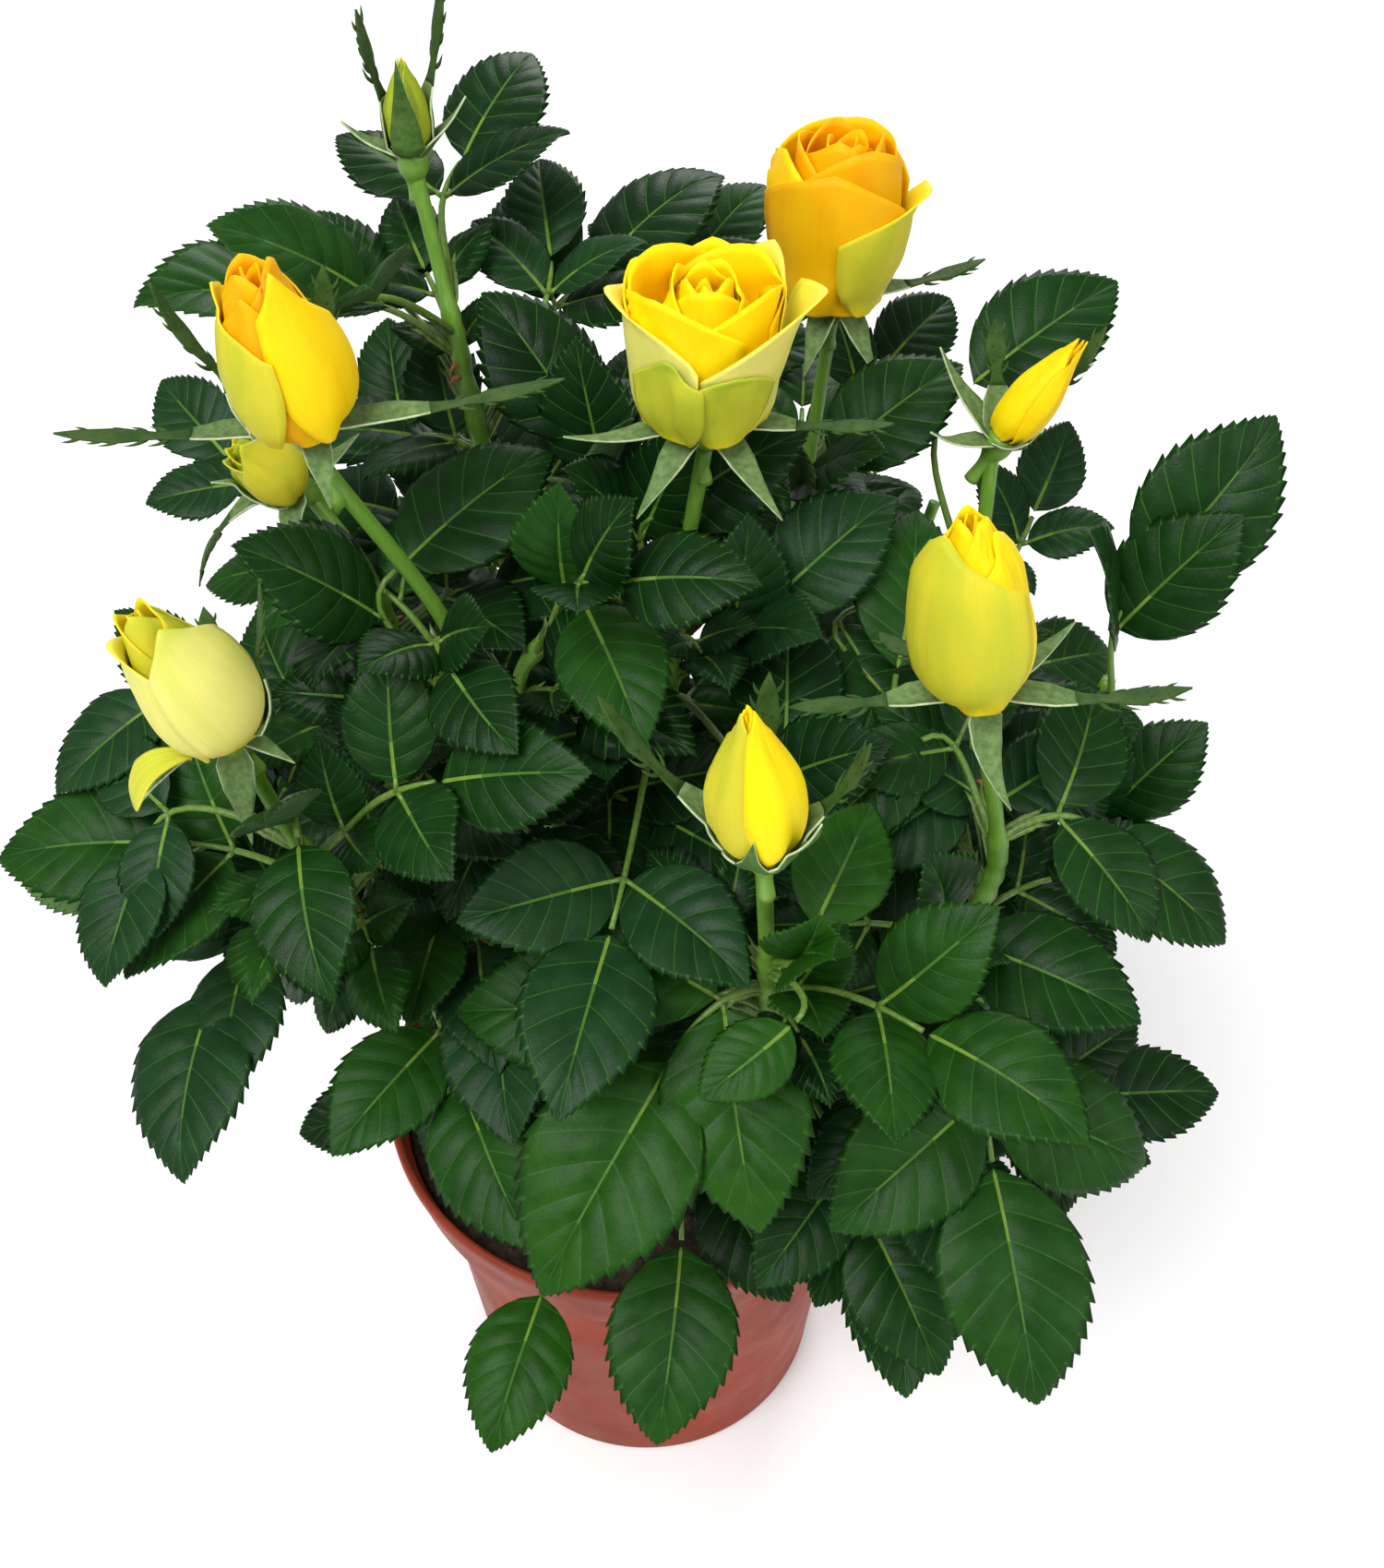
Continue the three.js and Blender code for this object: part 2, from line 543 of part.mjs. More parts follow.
// A stalk of three-cornered rings with its leaflets grown out of its sides and its end, as one closed body.
function leafSolid(stalk, up, [end, ...sides]) {
  const points = [];
  const faces = [];
  const addRing = (share) => {
    const place = stalk.getPointAt(share);
    const side = new THREE.Vector3().crossVectors(stalk.getTangentAt(share), up).normalize();
    const over = new THREE.Vector3().crossVectors(side, stalk.getTangentAt(share));
    for (const turn of [90, -30, 210]) {
      const corner = along(place, side, Math.cos(radians(turn)) * PETIOLE_RADIUS);
      points.push(along(corner, over, Math.sin(radians(turn)) * PETIOLE_RADIUS));
    }
    return [points.length - 3, points.length - 2, points.length - 1];
  };
  const addLeaflet = (blade, loop, hand) => {
    const [rightNear, rightFar, tip, leftFar, leftNear, over, under] =
      leafletPoints(blade).map((p) => points.push(p) - 1);
    faces.push(...(hand < 0
      ? leafletFaces(loop, [leftNear, leftFar, tip, rightFar, rightNear], under, over)
      : leafletFaces(loop, [rightNear, rightFar, tip, leftFar, leftNear], over, under)));
  };
  const half = LEAFLET_ROOT / stalk.getLength();
  const pairs = [...new Set(sides.map(({ share }) => share))].sort((one, other) => one - other);
  const joint = pairs[0] ?? 1;
  const shares = [0, 0.5 * (joint - half), ...pairs.flatMap((share) => [share - half, share + half]), 1];
  let last = addRing(0);
  faces.push([last[0], last[1], last[2]]);
  shares.slice(1).forEach((share, i) => {
    const next = addRing(share);
    for (const [p, q, hand] of [[0, 1, 1], [1, 2, 0], [2, 0, -1]]) {
      const blade = sides.find((one) => one.hand === hand && shares[i] < one.share && one.share < share);
      const loop = [last[p], next[p], next[q], last[q]];
      if (blade) addLeaflet(blade, loop, hand);
      else faces.push([loop[0], loop[1], loop[2]], [loop[0], loop[2], loop[3]]);
    }
    last = next;
  });
  addLeaflet(end, [last[0], last[0], last[2], last[1]], 1);
  return solidOf(points, faces);
}

// The joint is the point of the foliage's stem nearest to where the leaf's stalk comes from.
function jointFor(curve, [from, to], origin) {
  let best = from;
  for (let share = from; share <= to; share += 0.01) {
    if (curve.getPointAt(share).distanceTo(origin) < curve.getPointAt(best).distanceTo(origin)) best = share;
  }
  return best;
}

// A compound leaf: a stalk that bows from its joint to the hub, with leaflets at and behind the hub.
function growLeaf(shoot, joint, hub, azimuth, rise, length, count) {
  const owner = Symbol('leaf');
  const direction = heading(azimuth, rise);
  const start = shoot.curve.getPointAt(joint);
  const reach = STALK_REACH * start.distanceTo(hub);
  const spring = STALK_SPRING * reach;
  const outward = hub.clone().sub(start).setZ(0).normalize();
  const stalk = new THREE.CubicBezierCurve3(
    start, along(along(start, outward, spring), UP, spring), along(hub, direction, -reach), hub);
  const stalkRadius = () => PETIOLE_RADIUS;
  const shape = { sides: 3, steps: 6, reference: UP };
  const trial = limb(stalk, [0, 1], stalkRadius, { ...shape, extra: STALK_ROOM });
  if (!isClear(trial, shoot.foliageOwner)) return [];
  const out = hub.clone().setZ(0).normalize();
  const up = along(along(UP, out, OUTWARD_TILT), FRONT, FRONT_TILT).normalize();
  const blades = [];
  for (const [behind, hand, turn, size] of LEAFLETS.slice(0, count)) {
    const share = 1 - (behind * length) / stalk.getLength();
    if (share < FIRST_LEAFLET) continue;
    const base = stalk.getPointAt(share);
    const tangent = stalk.getTangentAt(share);
    const trialBlade = { base, up, share, hand, length: size * length };
    const blade = placeLeaflet(owner, trialBlade, tangent, -hand * turn);
    if (blade) blades.push(blade);
    else if (!hand) return [];
  }
  const leaf = leafSolid(stalk, up, blades);
  if (!isClear(leaf, owner, shoot.foliageOwner)) return [];
  remember(limb(stalk, [0, 1], stalkRadius, shape), owner);
  blades.forEach((blade) => remember(leafletSolid(blade), owner));
  return [leaf];
}

// The leaflet takes the first of a few small twists that leaves it clear of everything else.
const TWISTS = [
  [0, 0], [0, 10], [0, -10], [12, 0], [-12, 0], [0, 20], [0, -20], [22, 8], [-22, 8], [20, -14], [-20, -14],
];
const ELBOW_ROOM = { extra: 0.35, grow: 1.04 }; // how much larger than life a leaflet tries a place
function placeLeaflet(owner, blade, tangent, turn) {
  for (const [swing, lift] of TWISTS) {
    const direction = tangent.clone().applyAxisAngle(blade.up, radians(turn + swing));
    direction.addScaledVector(UP, Math.tan(radians(lift))).normalize();
    const placed = { ...blade, direction };
    if (isClear(leafletSolid(placed, ELBOW_ROOM), owner)) return placed;
  }
  return null;
}

// ---- blooms ---------------------------------------------------------------------------------------
// Profiles from the foot over the petals' tips and back up the heart: share of the height, share of the
// radius, and how far the petals' lobes shape that ring.
const FORMS = {
  bud: {
    sides: 6, lobes: 0,
    profile: [[0, 0.42, 0], [0.16, 0.86, 0], [0.38, 1, 0], [0.62, 0.8, 0], [0.84, 0.42, 0], [1, 0.08, 0]],
  },
  opening: {
    sides: 8, lobes: 4,
    profile: [
      [0, 0.36, 0], [0.16, 0.84, 0.2], [0.42, 1, 0.5], [0.7, 0.86, 0.8], [0.86, 0.62, 1],
      [0.78, 0.48, 0], [0.94, 0.36, 0], [1, 0.14, 0],
    ],
  },
  open: {
    sides: 10, lobes: 5,
    profile: [
      [0, 0.3, 0], [0.14, 0.66, 0.1], [0.42, 0.9, 0.4], [0.76, 0.98, 0.8], [0.9, 1.06, 1], [0.84, 0.86, 1],
      [0.68, 0.66, 0], [0.9, 0.6, 0], [0.96, 0.4, 0], [0.88, 0.18, 0],
    ],
  },
};
const LOBE_RISE = 0.06; // how far a petal's tip stands above the dips beside it, of the height
const LOBE_REACH = 0.09; // and outside them, of the radius

// Points round a bloom's own axis, which may lean.
function bloomFrame({ foot, lean, height }) {
  const axis = point(lean[0], lean[1], height).normalize();
  const across = new THREE.Vector3().crossVectors(axis, point(0, 1, 0)).normalize();
  const back = new THREE.Vector3().crossVectors(axis, across);
  const base = point(...foot);
  return (rise, radius, azimuth) => {
    const turn = radians(azimuth);
    const side = along(along(base, axis, rise), across, radius * Math.cos(turn));
    return along(side, back, radius * Math.sin(turn));
  };
}

function petals(place, { form, height, radius, turn }) {
  const { sides, lobes, profile } = FORMS[form];
  return loft(profile.map(([rise, reach, shaped]) => Array.from({ length: sides }, (_, j) => {
    const azimuth = (360 * j) / sides;
    const lobe = lobes ? shaped * Math.cos(radians(lobes * (azimuth - turn))) : 0;
    return place((rise + LOBE_RISE * lobe) * height, (reach + LOBE_REACH * lobe) * radius, azimuth);
  })));
}

// A sepal curves from its first rise to its last, is widest just above its root and narrows to a point.
function sepal(start, [azimuth, first, last, length]) {
  const steps = 3;
  const halves = [0.4, 0.36, 0.21].map((share) => share * SEPAL_WIDTH);
  const side = heading(azimuth + 90, 0);
  const rings = [];
  const place = start.clone();
  for (let i = 0; i < steps; i++) {
    const direction = heading(azimuth, lerp(first, last, (i + 0.5) / steps));
    const outward = new THREE.Vector3().crossVectors(side, direction);
    rings.push([
      along(place, side, halves[i]), along(place, side, -halves[i]), along(place, outward, SEPAL_THICKNESS),
    ]);
    place.addScaledVector(direction, length / steps);
  }
  rings.push([place]);
  return loft(rings);
}

// The flower stalk swells into the hip, which carries the sepals and petals.
function bloomSolid(curve, [from, to], bloom) {
  const place = bloomFrame(bloom);
  const sides = 6;
  const steps = 3;
  const hipRadius = Math.max(HIP_RADIUS.share * bloom.radius, HIP_RADIUS.least);
  const rings = Array.from({ length: steps + 1 }, (_, i) => {
    const share = lerp(from, to - HIP_HEIGHT / curve.getLength(), i / steps);
    return ring(curve.getPointAt(share), curve.getTangentAt(share), X, caneRadius(share), sides);
  });
  const axis = place(1, 0, 0).sub(place(0, 0, 0));
  const hip = HIP_RINGS.map(([rise, share]) => ring(place(rise, 0, 0), axis, X, share * hipRadius, sides));
  const root = place(SEPAL_ROOT, 0, 0);
  const springs = SEPAL_SPRING * hipRadius;
  const calyx = bloom.sepals.map((row) => sepal(along(root, heading(row[0], 0), springs), row));
  return joined([loft([...rings, ...hip]), petals(place, bloom), ...calyx]);
}

// ---- assembly -------------------------------------------------------------------------------------
const FINISH = {
  pot: { color: 0xaf5f4e, roughness: 0.6 },
  soil: { color: 0x2a1c14, roughness: 0.95 },
  bark: { color: 0x6b5a3a, roughness: 0.85 },
  cane: { color: 0x5c8a2e, roughness: 0.5 },
  foliage: { color: 0x1f4a22, roughness: 0.45 },
  petal: { color: 0xf2d21c, roughness: 0.5 },
};

const group = new THREE.Group();

function addNode(name, solid, finish) {
  const { vertProperties, triVerts, numProp } = solid.getMesh();
  const position = new THREE.BufferAttribute(new Float32Array(vertProperties), numProp);
  const geometry = new THREE.BufferGeometry().setAttribute('position', position);
  geometry.setIndex(new THREE.BufferAttribute(new Uint32Array(triVerts), 1));
  geometry.computeVertexNormals();
  const material = new THREE.MeshStandardMaterial({ ...FINISH[finish], metalness: 0 });
  const mesh = new THREE.Mesh(geometry, material);
  mesh.name = name;
  group.add(mesh);
}

const stemCurves = {};
const stemSolids = {};
for (const [name, stem] of Object.entries(STEMS)) {
  stemCurves[name] = stemCurve(stem);
  stemSolids[name] = mainStem(stemCurves[name]);
}

addNode('pot', pot(), 'pot');
addNode('soil', soil(), 'soil');
for (const [name, solid] of Object.entries(stemSolids)) addNode('main_stem_' + name, solid, 'bark');

// Every limb and bloom is in place before the first leaf.
for (const { geometry } of group.children) remember(solidFrom(geometry), 'ground');

SHOOTS.forEach((shoot, index) => {
  shoot.number = index + 1;
  shoot.foliageOwner = Symbol('foliage stem');
  shoot.curve = caneCurve(shoot);
  const half = GAP / 2 / shoot.curve.getLength();
  const [enters, leaves] = shoot.foliage;
  const shape = { sides: 5, steps: 5 };
  const trunk = mainStem(stemCurves[shoot.stem], GAP);
  shoot.cane = oneBody(limb(shoot.curve, [0, enters - half], caneRadius, shape).subtract(trunk));
  shoot.stalk = limb(shoot.curve, [enters + half, leaves - half], caneRadius, shape);
  remember(shoot.cane, 'cane');
  remember(shoot.stalk, shoot.foliageOwner);
  addNode('cane_' + shoot.number, shoot.cane, 'cane');
  if (shoot.bloom) {
    const solid = bloomSolid(shoot.curve, [leaves + half, 1], shoot.bloom);
    remember(solid, 'bloom');
    addNode('bloom_' + shoot.number, solid, 'petal');
  }
});

// The leaves that are placed one by one come first, so the others grow round them. Each may shift a little
// to find room.
const SHIFTS = [
  [0, 0, 0], [0, 0, 4], [0, 0, -4], [4, 0, 0], [-4, 0, 0], [0, -4, 3], [0, 4, -3], [0, 0, 8], [0, 0, -8],
  [7, 0, 3], [-7, 0, 3], [0, -8, 4], [0, 8, -4], [0, 0, 13], [0, 0, -13],
];
for (const shoot of SHOOTS) {
  const margin = JOINT_MARGIN / shoot.curve.getLength();
  shoot.joints = [shoot.foliage[0] + margin, shoot.foliage[1] - margin];
  shoot.parts = [shoot.stalk];
  for (const [x, y, z, azimuth, rise, length, count] of shoot.leaves) {
    for (const [dx, dy, dz] of SHIFTS) {
      const hub = point(x + dx, y + dy, z + dz);
      const origin = along(along(hub, heading(azimuth, rise), -0.9 * length), UP, -STALK_DROP);
      const joint = jointFor(shoot.curve, shoot.joints, origin);
      const parts = growLeaf(shoot, joint, hub, azimuth, rise, length, count);
      shoot.parts.push(...parts);
      if (parts.length) break;
    }
  }
}

// Whether a leaflet from a hub to a tip keeps inside the crown and out of its openings.
function inCrown(hub, tip) {
  const middle = hub.clone().lerp(tip, 0.5);
  const open = OPENINGS.some(([x, y, z, radius]) =>
    [hub, middle, tip].some((place) => place.distanceTo(point(x, y, z)) < radius));
  return !open && Math.hypot(tip.x, tip.y) < CROWN_RADIUS && tip.z > CROWN_FLOOR;
}

// Whether a point is nearer to this shoot's foliage than to any other's.
function inOwnSpace(shoot, place) {
  const distance = ({ curve, foliage: [from, to] }) => Math.min(
    ...[0, 0.25, 0.5, 0.75, 1].map((share) => curve.getPointAt(lerp(from, to, share)).distanceTo(place)));
  const own = distance(shoot);
  return SHOOTS.every((other) => other === shoot || distance(other) > OWN_SPACE * own);
}

const random = seeded(SEED);
for (const shoot of SHOOTS) {
  const [from, to] = shoot.joints;
  const step = JOINT_SPACING / shoot.curve.getLength();
  let azimuth = 360 * random();
  for (let joint = from; joint <= to + 1e-9; joint += step) {
    const height = (joint - from) / (to - from);
    const rise = lerp(FILL_RISE[0], FILL_RISE[1], height) + FILL_JITTER * (random() - 0.5);
    const length = lerp(FILL_LENGTH[0], FILL_LENGTH[1], random());
    const stalk = lerp(FILL_STALK[0], FILL_STALK[1], random());
    const count = random() < FIVE_LEAFLETS ? 5 : 3;
    azimuth += JOINT_TURN;
    for (const swing of FILL_SWINGS) {
      const turn = azimuth + swing;
      const hub = along(shoot.curve.getPointAt(joint), heading(turn, rise + STALK_BOW), stalk);
      const tip = along(hub, heading(turn, rise - STALK_BOW), length);
      const fits = inCrown(hub, tip) && inOwnSpace(shoot, hub);
      const parts = fits ? growLeaf(shoot, joint, hub, turn, rise - STALK_BOW, length, count) : [];
      shoot.parts.push(...parts);
      if (parts.length) break;
    }
  }
  addNode('foliage_' + shoot.number, joined(shoot.parts), 'foliage');
}

export default group;
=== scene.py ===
"""A patio rose in a nursery pot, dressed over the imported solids. Metres, +Z up, -Y is the front.

The plant is worked out in millimetres by the same growth rule as the solids, and scaled to metres when its
meshes are made.
"""
import math

import bmesh
import bpy
import numpy as np
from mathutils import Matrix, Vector
from mathutils.bvhtree import BVHTree


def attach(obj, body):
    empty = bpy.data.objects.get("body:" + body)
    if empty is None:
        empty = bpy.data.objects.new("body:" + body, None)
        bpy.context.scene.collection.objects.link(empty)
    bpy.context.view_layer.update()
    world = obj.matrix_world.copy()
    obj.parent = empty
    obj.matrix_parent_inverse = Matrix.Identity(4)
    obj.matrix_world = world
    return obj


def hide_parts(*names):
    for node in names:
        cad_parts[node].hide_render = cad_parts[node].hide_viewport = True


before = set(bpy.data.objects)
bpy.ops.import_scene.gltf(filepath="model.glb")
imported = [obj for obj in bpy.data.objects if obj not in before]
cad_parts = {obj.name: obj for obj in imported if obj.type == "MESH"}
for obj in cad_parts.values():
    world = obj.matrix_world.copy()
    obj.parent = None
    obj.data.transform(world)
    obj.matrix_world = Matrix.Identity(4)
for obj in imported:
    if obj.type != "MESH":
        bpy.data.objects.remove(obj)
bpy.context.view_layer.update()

# ---- driving dimensions, in millimetres as in the solids ----------------------------------------------
MM = 0.001
GAP = 0.3

POT_HEIGHT = 105
RIM_RADIUS = 60
COLLAR_HEIGHT = 17
COLLAR_FOOT_RADIUS = 57
BODY_RADIUS = 51.5
BASE_RADIUS = 44
WALL = 1.6

SOIL_LEVEL = 98
SOIL_RELIEF = 2.2
STEM_HEIGHT = 26
STEM_RADIUS = 3.7
STEM_FLARE = 6.6
CANE_RADIUS = (2.3, 1.6)
PETIOLE_RADIUS = 0.75

LEAFLET_WIDTH = 0.66
LEAFLET_THICKNESS = 0.026
LEAFLET_ARCH = 0.07
LEAFLET_FOLD = 0.16
OUTWARD_TILT = 0.25
FRONT_TILT = 0.4
HIP_HEIGHT = 5

# A leaf's leaflets: how far behind the hub, which side, turn, size.
LEAFLETS = (
    (0, 0, 0, 1),
    (0.28, 1, 62, 0.86),
    (0.28, -1, 62, 0.86),
    (0.86, 1, 74, 0.64),
    (0.86, -1, 74, 0.64),
)

STEMS = {
    "left": {"foot": (-17, -4), "lean": (-3, -3)},
    "front": {"foot": (13, -13), "lean": (2, -4)},
    "back": {"foot": (5, 17), "lean": (1, 4)},
}

# As in the solids: a shoot's stem, where it springs (azimuth, share of the stem), its route, the shares
# between which its foliage lies, and its leaves: x, y, z of the hub, azimuth, rise and length of the end
# leaflet, number of leaflets, and a tone where the leaf isn't an ordinary green. A bloom's sepals: azimuth,
# first and last rise, length. Its turn and colour are only the scene's.
SHOOTS = [
    {
        "stem": "left", "spring": (-95, 0.8),
        "route": ((-26, -13, 150), (-31, -21, 200), (-29, -26, 240), (-28, -28, 262)),
        "foliage": (0.38, 0.8),
        "leaves": (
            (-26, -45, 269, -59, -8, 22, 3), (-34, -38, 240, -45, -10, 25, 3),
            (-37, -20, 268, 36, 18, 34, 3), (-33, -46, 210, -96, -5, 22, 5),
        ),
        "bloom": {
            "foot": (-42, -35, 298), "height": 34, "radius": 10, "lean": (-6, 0), "form": "opening",
            "turn": 20,
            "sepals": (
                (180, -5, 5, 36), (12, 5, 12, 36), (175, 40, 75, 36), (80, 60, 85, 30), (-70, -30, -70, 11),
            ),
            "colour": "amber",
        },
    },
    {
        "stem": "front", "spring": (130, 0.8),
        "route": ((3, -14, 165), (6, -11, 210), (10, -16, 260)),
        "foliage": (0.3, 0.82),
        "leaves": (
            (0, -44, 284, -20, 14, 24, 3), (-1, -22, 276, -177, -6, 29, 3), (3, -10, 272, -17, 17, 29, 3),
            (24, -21, 261, 26, 29, 29, 3), (27, -45, 253, 87, 29, 29, 3), (-1, -66, 235, -103, -14, 33, 3),
        ),
        "bloom": {
            "foot": (14, -20, 292), "height": 31, "radius": 15, "lean": (0, 0), "form": "open", "turn": -100,
            "sepals": (
                (188, -10, 15, 20), (-5, 0, 10, 27), (-128, -25, -35, 17),
                (-50, -25, -30, 18), (90, 0, -20, 22),
            ),
            "colour": "yellow",
        },
    },
    {
        "stem": "back", "spring": (5, 0.8),
        "route": ((20, 23, 165), (30, 29, 220), (34, 30, 255)),
        "foliage": (0.32, 0.84),
        "leaves": (
            (11, 60, 280, 47, 22, 25, 3), (35, 5, 272, 26, 25, 30, 5), (48, 40, 270, 48, 18, 23, 3),
        ),
        "bloom": {
            "foot": (37, 30, 287), "height": 34, "radius": 14, "lean": (1, 0), "form": "egg", "turn": -26,
            "sepals": (
                (-50, -40, -50, 14), (20, 0, 15, 28), (170, -10, -30, 18), (100, -10, -30, 20),
                (-120, -40, -60, 13),
            ),
            "colour": "amber",
        },
    },
    {
        "stem": "front", "spring": (-30, 0.8),
        "route": ((34, -27, 155), (47, -40, 185), (57, -50, 209), (62, -54, 230), (60, -57, 248)),
        "foliage": (0.3, 0.84),
        "leaves": (
            (64, -80, 186, -83, -36, 41, 5), (56, -65, 227, -28, -5, 31, 3), (78, -54, 241, -27, -35, 29, 3),
            (64, -37, 244, 19, 1, 26, 3), (58, -45, 240, -152, -15, 25, 3), (52, -72, 178, -60, -40, 27, 3),
            (46, -30, 258, 76, 32, 30, 3), (49, -45, 253, -144, -5, 24, 3),
        ),
        "bloom": {
            "foot": (54, -60, 272), "height": 37, "radius": 10, "lean": (-5, 0), "form": "opening",
            "turn": 120,
            "sepals": (
                (0, -10, 20, 30), (183, -8, 0, 26), (-70, -80, -5, 18),
                (40, 0, 30, 20), (120, -20, -10, 24),
            ),
            "colour": "yellow",
        },
    },
    {
        "stem": "front", "spring": (-80, 0.65),
        "route": ((28, -42, 160), (26, -58, 195), (24, -72, 230)),
        "foliage": (0.26, 0.8),
        "leaves": (
            (9, -77, 212, -126, -34, 44, 3, "fresh"), (30, -80, 246, 66, 17, 24, 3, "fresh"),
            (28, -84, 243, -144, -24, 19, 1, "fresh"), (15, -58, 152, -52, -23, 30, 3),
        ),
        "bloom": {
            "foot": (22, -85, 266), "height": 30, "radius": 7.3, "lean": (-3, 0), "form": "bud", "turn": 30,
            "sepals": (
                (160, 35, 60, 34), (8, 45, 78, 26), (90, 70, 88, 31),
                (-110, 60, 88, 14), (-50, 45, 80, 20),
            ),
            "colour": "yellow",
        },
    },
    {
        "stem": "left", "spring": (-130, 0.5),
        "route": ((-36, -26, 160), (-45, -44, 205), (-52, -55, 240)),
        "foliage": (0.28, 0.86),
        "leaves": (
            (-48, -67, 253, -76, -25, 26, 3), (-74, -51, 198, -97, -22, 35, 5),
            (-78, -52, 240, -104, -35, 24, 3), (-22, -52, 212, -86, -20, 32, 5),
        ),
        "bloom": {
            "foot": (-56, -60, 266), "height": 31, "radius": 10.8, "lean": (-10, -4), "form": "opening",
            "turn": 200,
            "sepals": (
                (20, 70, 86, 30), (190, -20, -60, 20), (-80, -70, -85, 18),
                (-20, 0, -30, 9), (110, 20, 40, 22),
            ),
            "colour": "lemon",
        },
    },
    {
        "stem": "back", "spring": (-40, 0.7),
        "route": ((42, 6, 175), (56, -1, 220), (62, -3, 255)),
        "foliage": (0.34, 0.86),
        "leaves": (
            (60, 14, 282, 26, 24, 32, 3), (75, 15, 254, 64, 35, 20, 3), (38, -24, 267, -45, -18, 26, 3),
            (70, -48, 157, -24, 1, 33, 3),
        ),
        "bloom": {
            "foot": (63, 0, 278), "height": 25, "radius": 6.2, "lean": (14, 0), "form": "bud", "turn": 80,
            "sepals": (
                (150, 55, 68, 20), (20, 40, 60, 27), (-80, 30, 50, 18),
                (90, 60, 70, 22), (-150, 20, 50, 15),
            ),
            "colour": "gold",
        },
    },
    {
        "stem": "back", "spring": (175, 0.75),
        "route": ((-12, 22, 170), (-21, 15, 230), (-27, 13, 285), (-30, 17, 302)),
        "foliage": (0.36, 0.92),
        "leaves": (
            (-28, 39, 311, 60, 20, 28, 3), (-45, 33, 292, 147, 13, 22, 3), (-6, 39, 290, 38, 18, 33, 3),
            (-13, 34, 291, 95, 26, 23, 3), (-5, 3, 278, 142, 42, 31, 3),
        ),
        "bloom": {
            "foot": (-33, 20, 320), "height": 17, "radius": 5, "lean": (0, 0), "form": "bud", "turn": 10,
            "sepals": (
                (165, 72, 84, 25), (30, 74, 80, 29), (-90, 70, 86, 20),
                (185, 30, 50, 12), (0, 50, 60, 14),
            ),
            "colour": "green",
        },
    },
    {
        "stem": "left", "spring": (155, 0.8),
        "route": ((-33, -1, 175), (-40, -5, 225), (-44, -8, 257)),
        "foliage": (0.36, 0.88),
        "leaves": ((-71, 14, 267, 133, 19, 22, 3), (-58, 2, 260, 167, -17, 21, 3)),
        "bloom": {
            "foot": (-53, -5, 273), "height": 17, "radius": 6.5, "lean": (-14, -6), "form": "bud", "turn": 60,
            "sepals": (
                (188, -10, -80, 28), (120, 10, 0, 16), (-100, -20, -60, 12),
                (40, 40, 30, 12), (-160, 30, 10, 14),
            ),
            "colour": "green",
        },
    },
    {
        "stem": "left", "spring": (-35, 0.6),
        "route": ((-9, -18, 160), (-14, -21, 210), (-18, -25, 245), (-12, -25, 259)),
        "foliage": (0.36, 1),
        "leaves": ((-5, -36, 274, -65, -20, 27, 3), (-5, -38, 249, -150, 0, 25, 3)),
    },
    {
        "stem": "back", "spring": (-85, 0.45),
        "route": ((34, 3, 140), (60, -6, 180), (80, -13, 215), (87, -14, 240)),
        "foliage": (0.34, 1),
        "leaves": (
            (88, -15, 261, 25, 46, 35, 3), (89, -21, 212, 15, 52, 26, 3), (85, -56, 172, 5, -5, 28, 3),
        ),
    },
    {
        "stem": "left", "spring": (-175, 0.35),
        "route": ((-38, -10, 140), (-60, -20, 180), (-72, -27, 220)),
        "foliage": (0.36, 1),
        "leaves": (
            (-77, -28, 248, -145, -25, 25, 3), (-83, -42, 228, 178, -7, 24, 1, "pale"),
            (-49, -34, 139, -171, -12, 23, 3),
        ),
    },
    {
        "stem": "front", "spring": (-135, 0.4),
        "route": ((6, -36, 128), (4, -54, 148), (8, -60, 172)),
        "foliage": (0.3, 1),
        "leaves": (
            (10, -74, 151, -95, -33, 37, 1), (-18, -70, 126, -107, -23, 32, 1, "fresh"),
            (50, -63, 139, -83, -11, 34, 3), (-31, -27, 142, -100, -35, 23, 3),
            (46, -46, 136, -145, -12, 26, 3),
        ),
    },
    {
        "stem": "back", "spring": (130, 0.6), "route": ((-14, 40, 150), (-28, 52, 195), (-38, 58, 240)),
        "foliage": (0.3, 1), "leaves": (),
    },
    {
        "stem": "back", "spring": (85, 0.8), "route": ((8, 44, 155), (8, 60, 200), (6, 64, 248)),
        "foliage": (0.3, 1), "leaves": (),
    },
    {
        "stem": "back", "spring": (45, 0.45), "route": ((30, 40, 145), (52, 52, 185), (64, 58, 228)),
        "foliage": (0.3, 1), "leaves": (),
    },
    {
        "stem": "left", "spring": (110, 0.45), "route": ((-36, 18, 145), (-58, 28, 185), (-68, 34, 225)),
        "foliage": (0.3, 1), "leaves": (),
    },
]

# Leaves that fill a shoot by rule.
JOINT_SPACING = 17
JOINT_TURN = 137.5
FILL_LENGTH = (26, 36)
FILL_STALK = (20, 34)
FILL_RISE = (-32, 30)
CROWN_RADIUS = 128
CROWN_FLOOR = 92
# Balls of the crown that stay open, as x, y, z and radius: no leaf grown by rule reaches into them.
OPENINGS = (
    (92, -60, 210, 22), (104, -1, 241, 22), (-66, -36, 160, 26), (-70, -84, 235, 18), (-66, 8, 248, 22),
    (-20, 0, 312, 20), (-22, 58, 244, 22), (16, -80, 142, 26), (-26, -66, 126, 20),
    (89, 52, 241, 18), (-20, 26, 280, 18), (-4, 28, 309, 14), (86, 0, 228, 16), (-83, 33, 218, 18),
)
SEED = 3
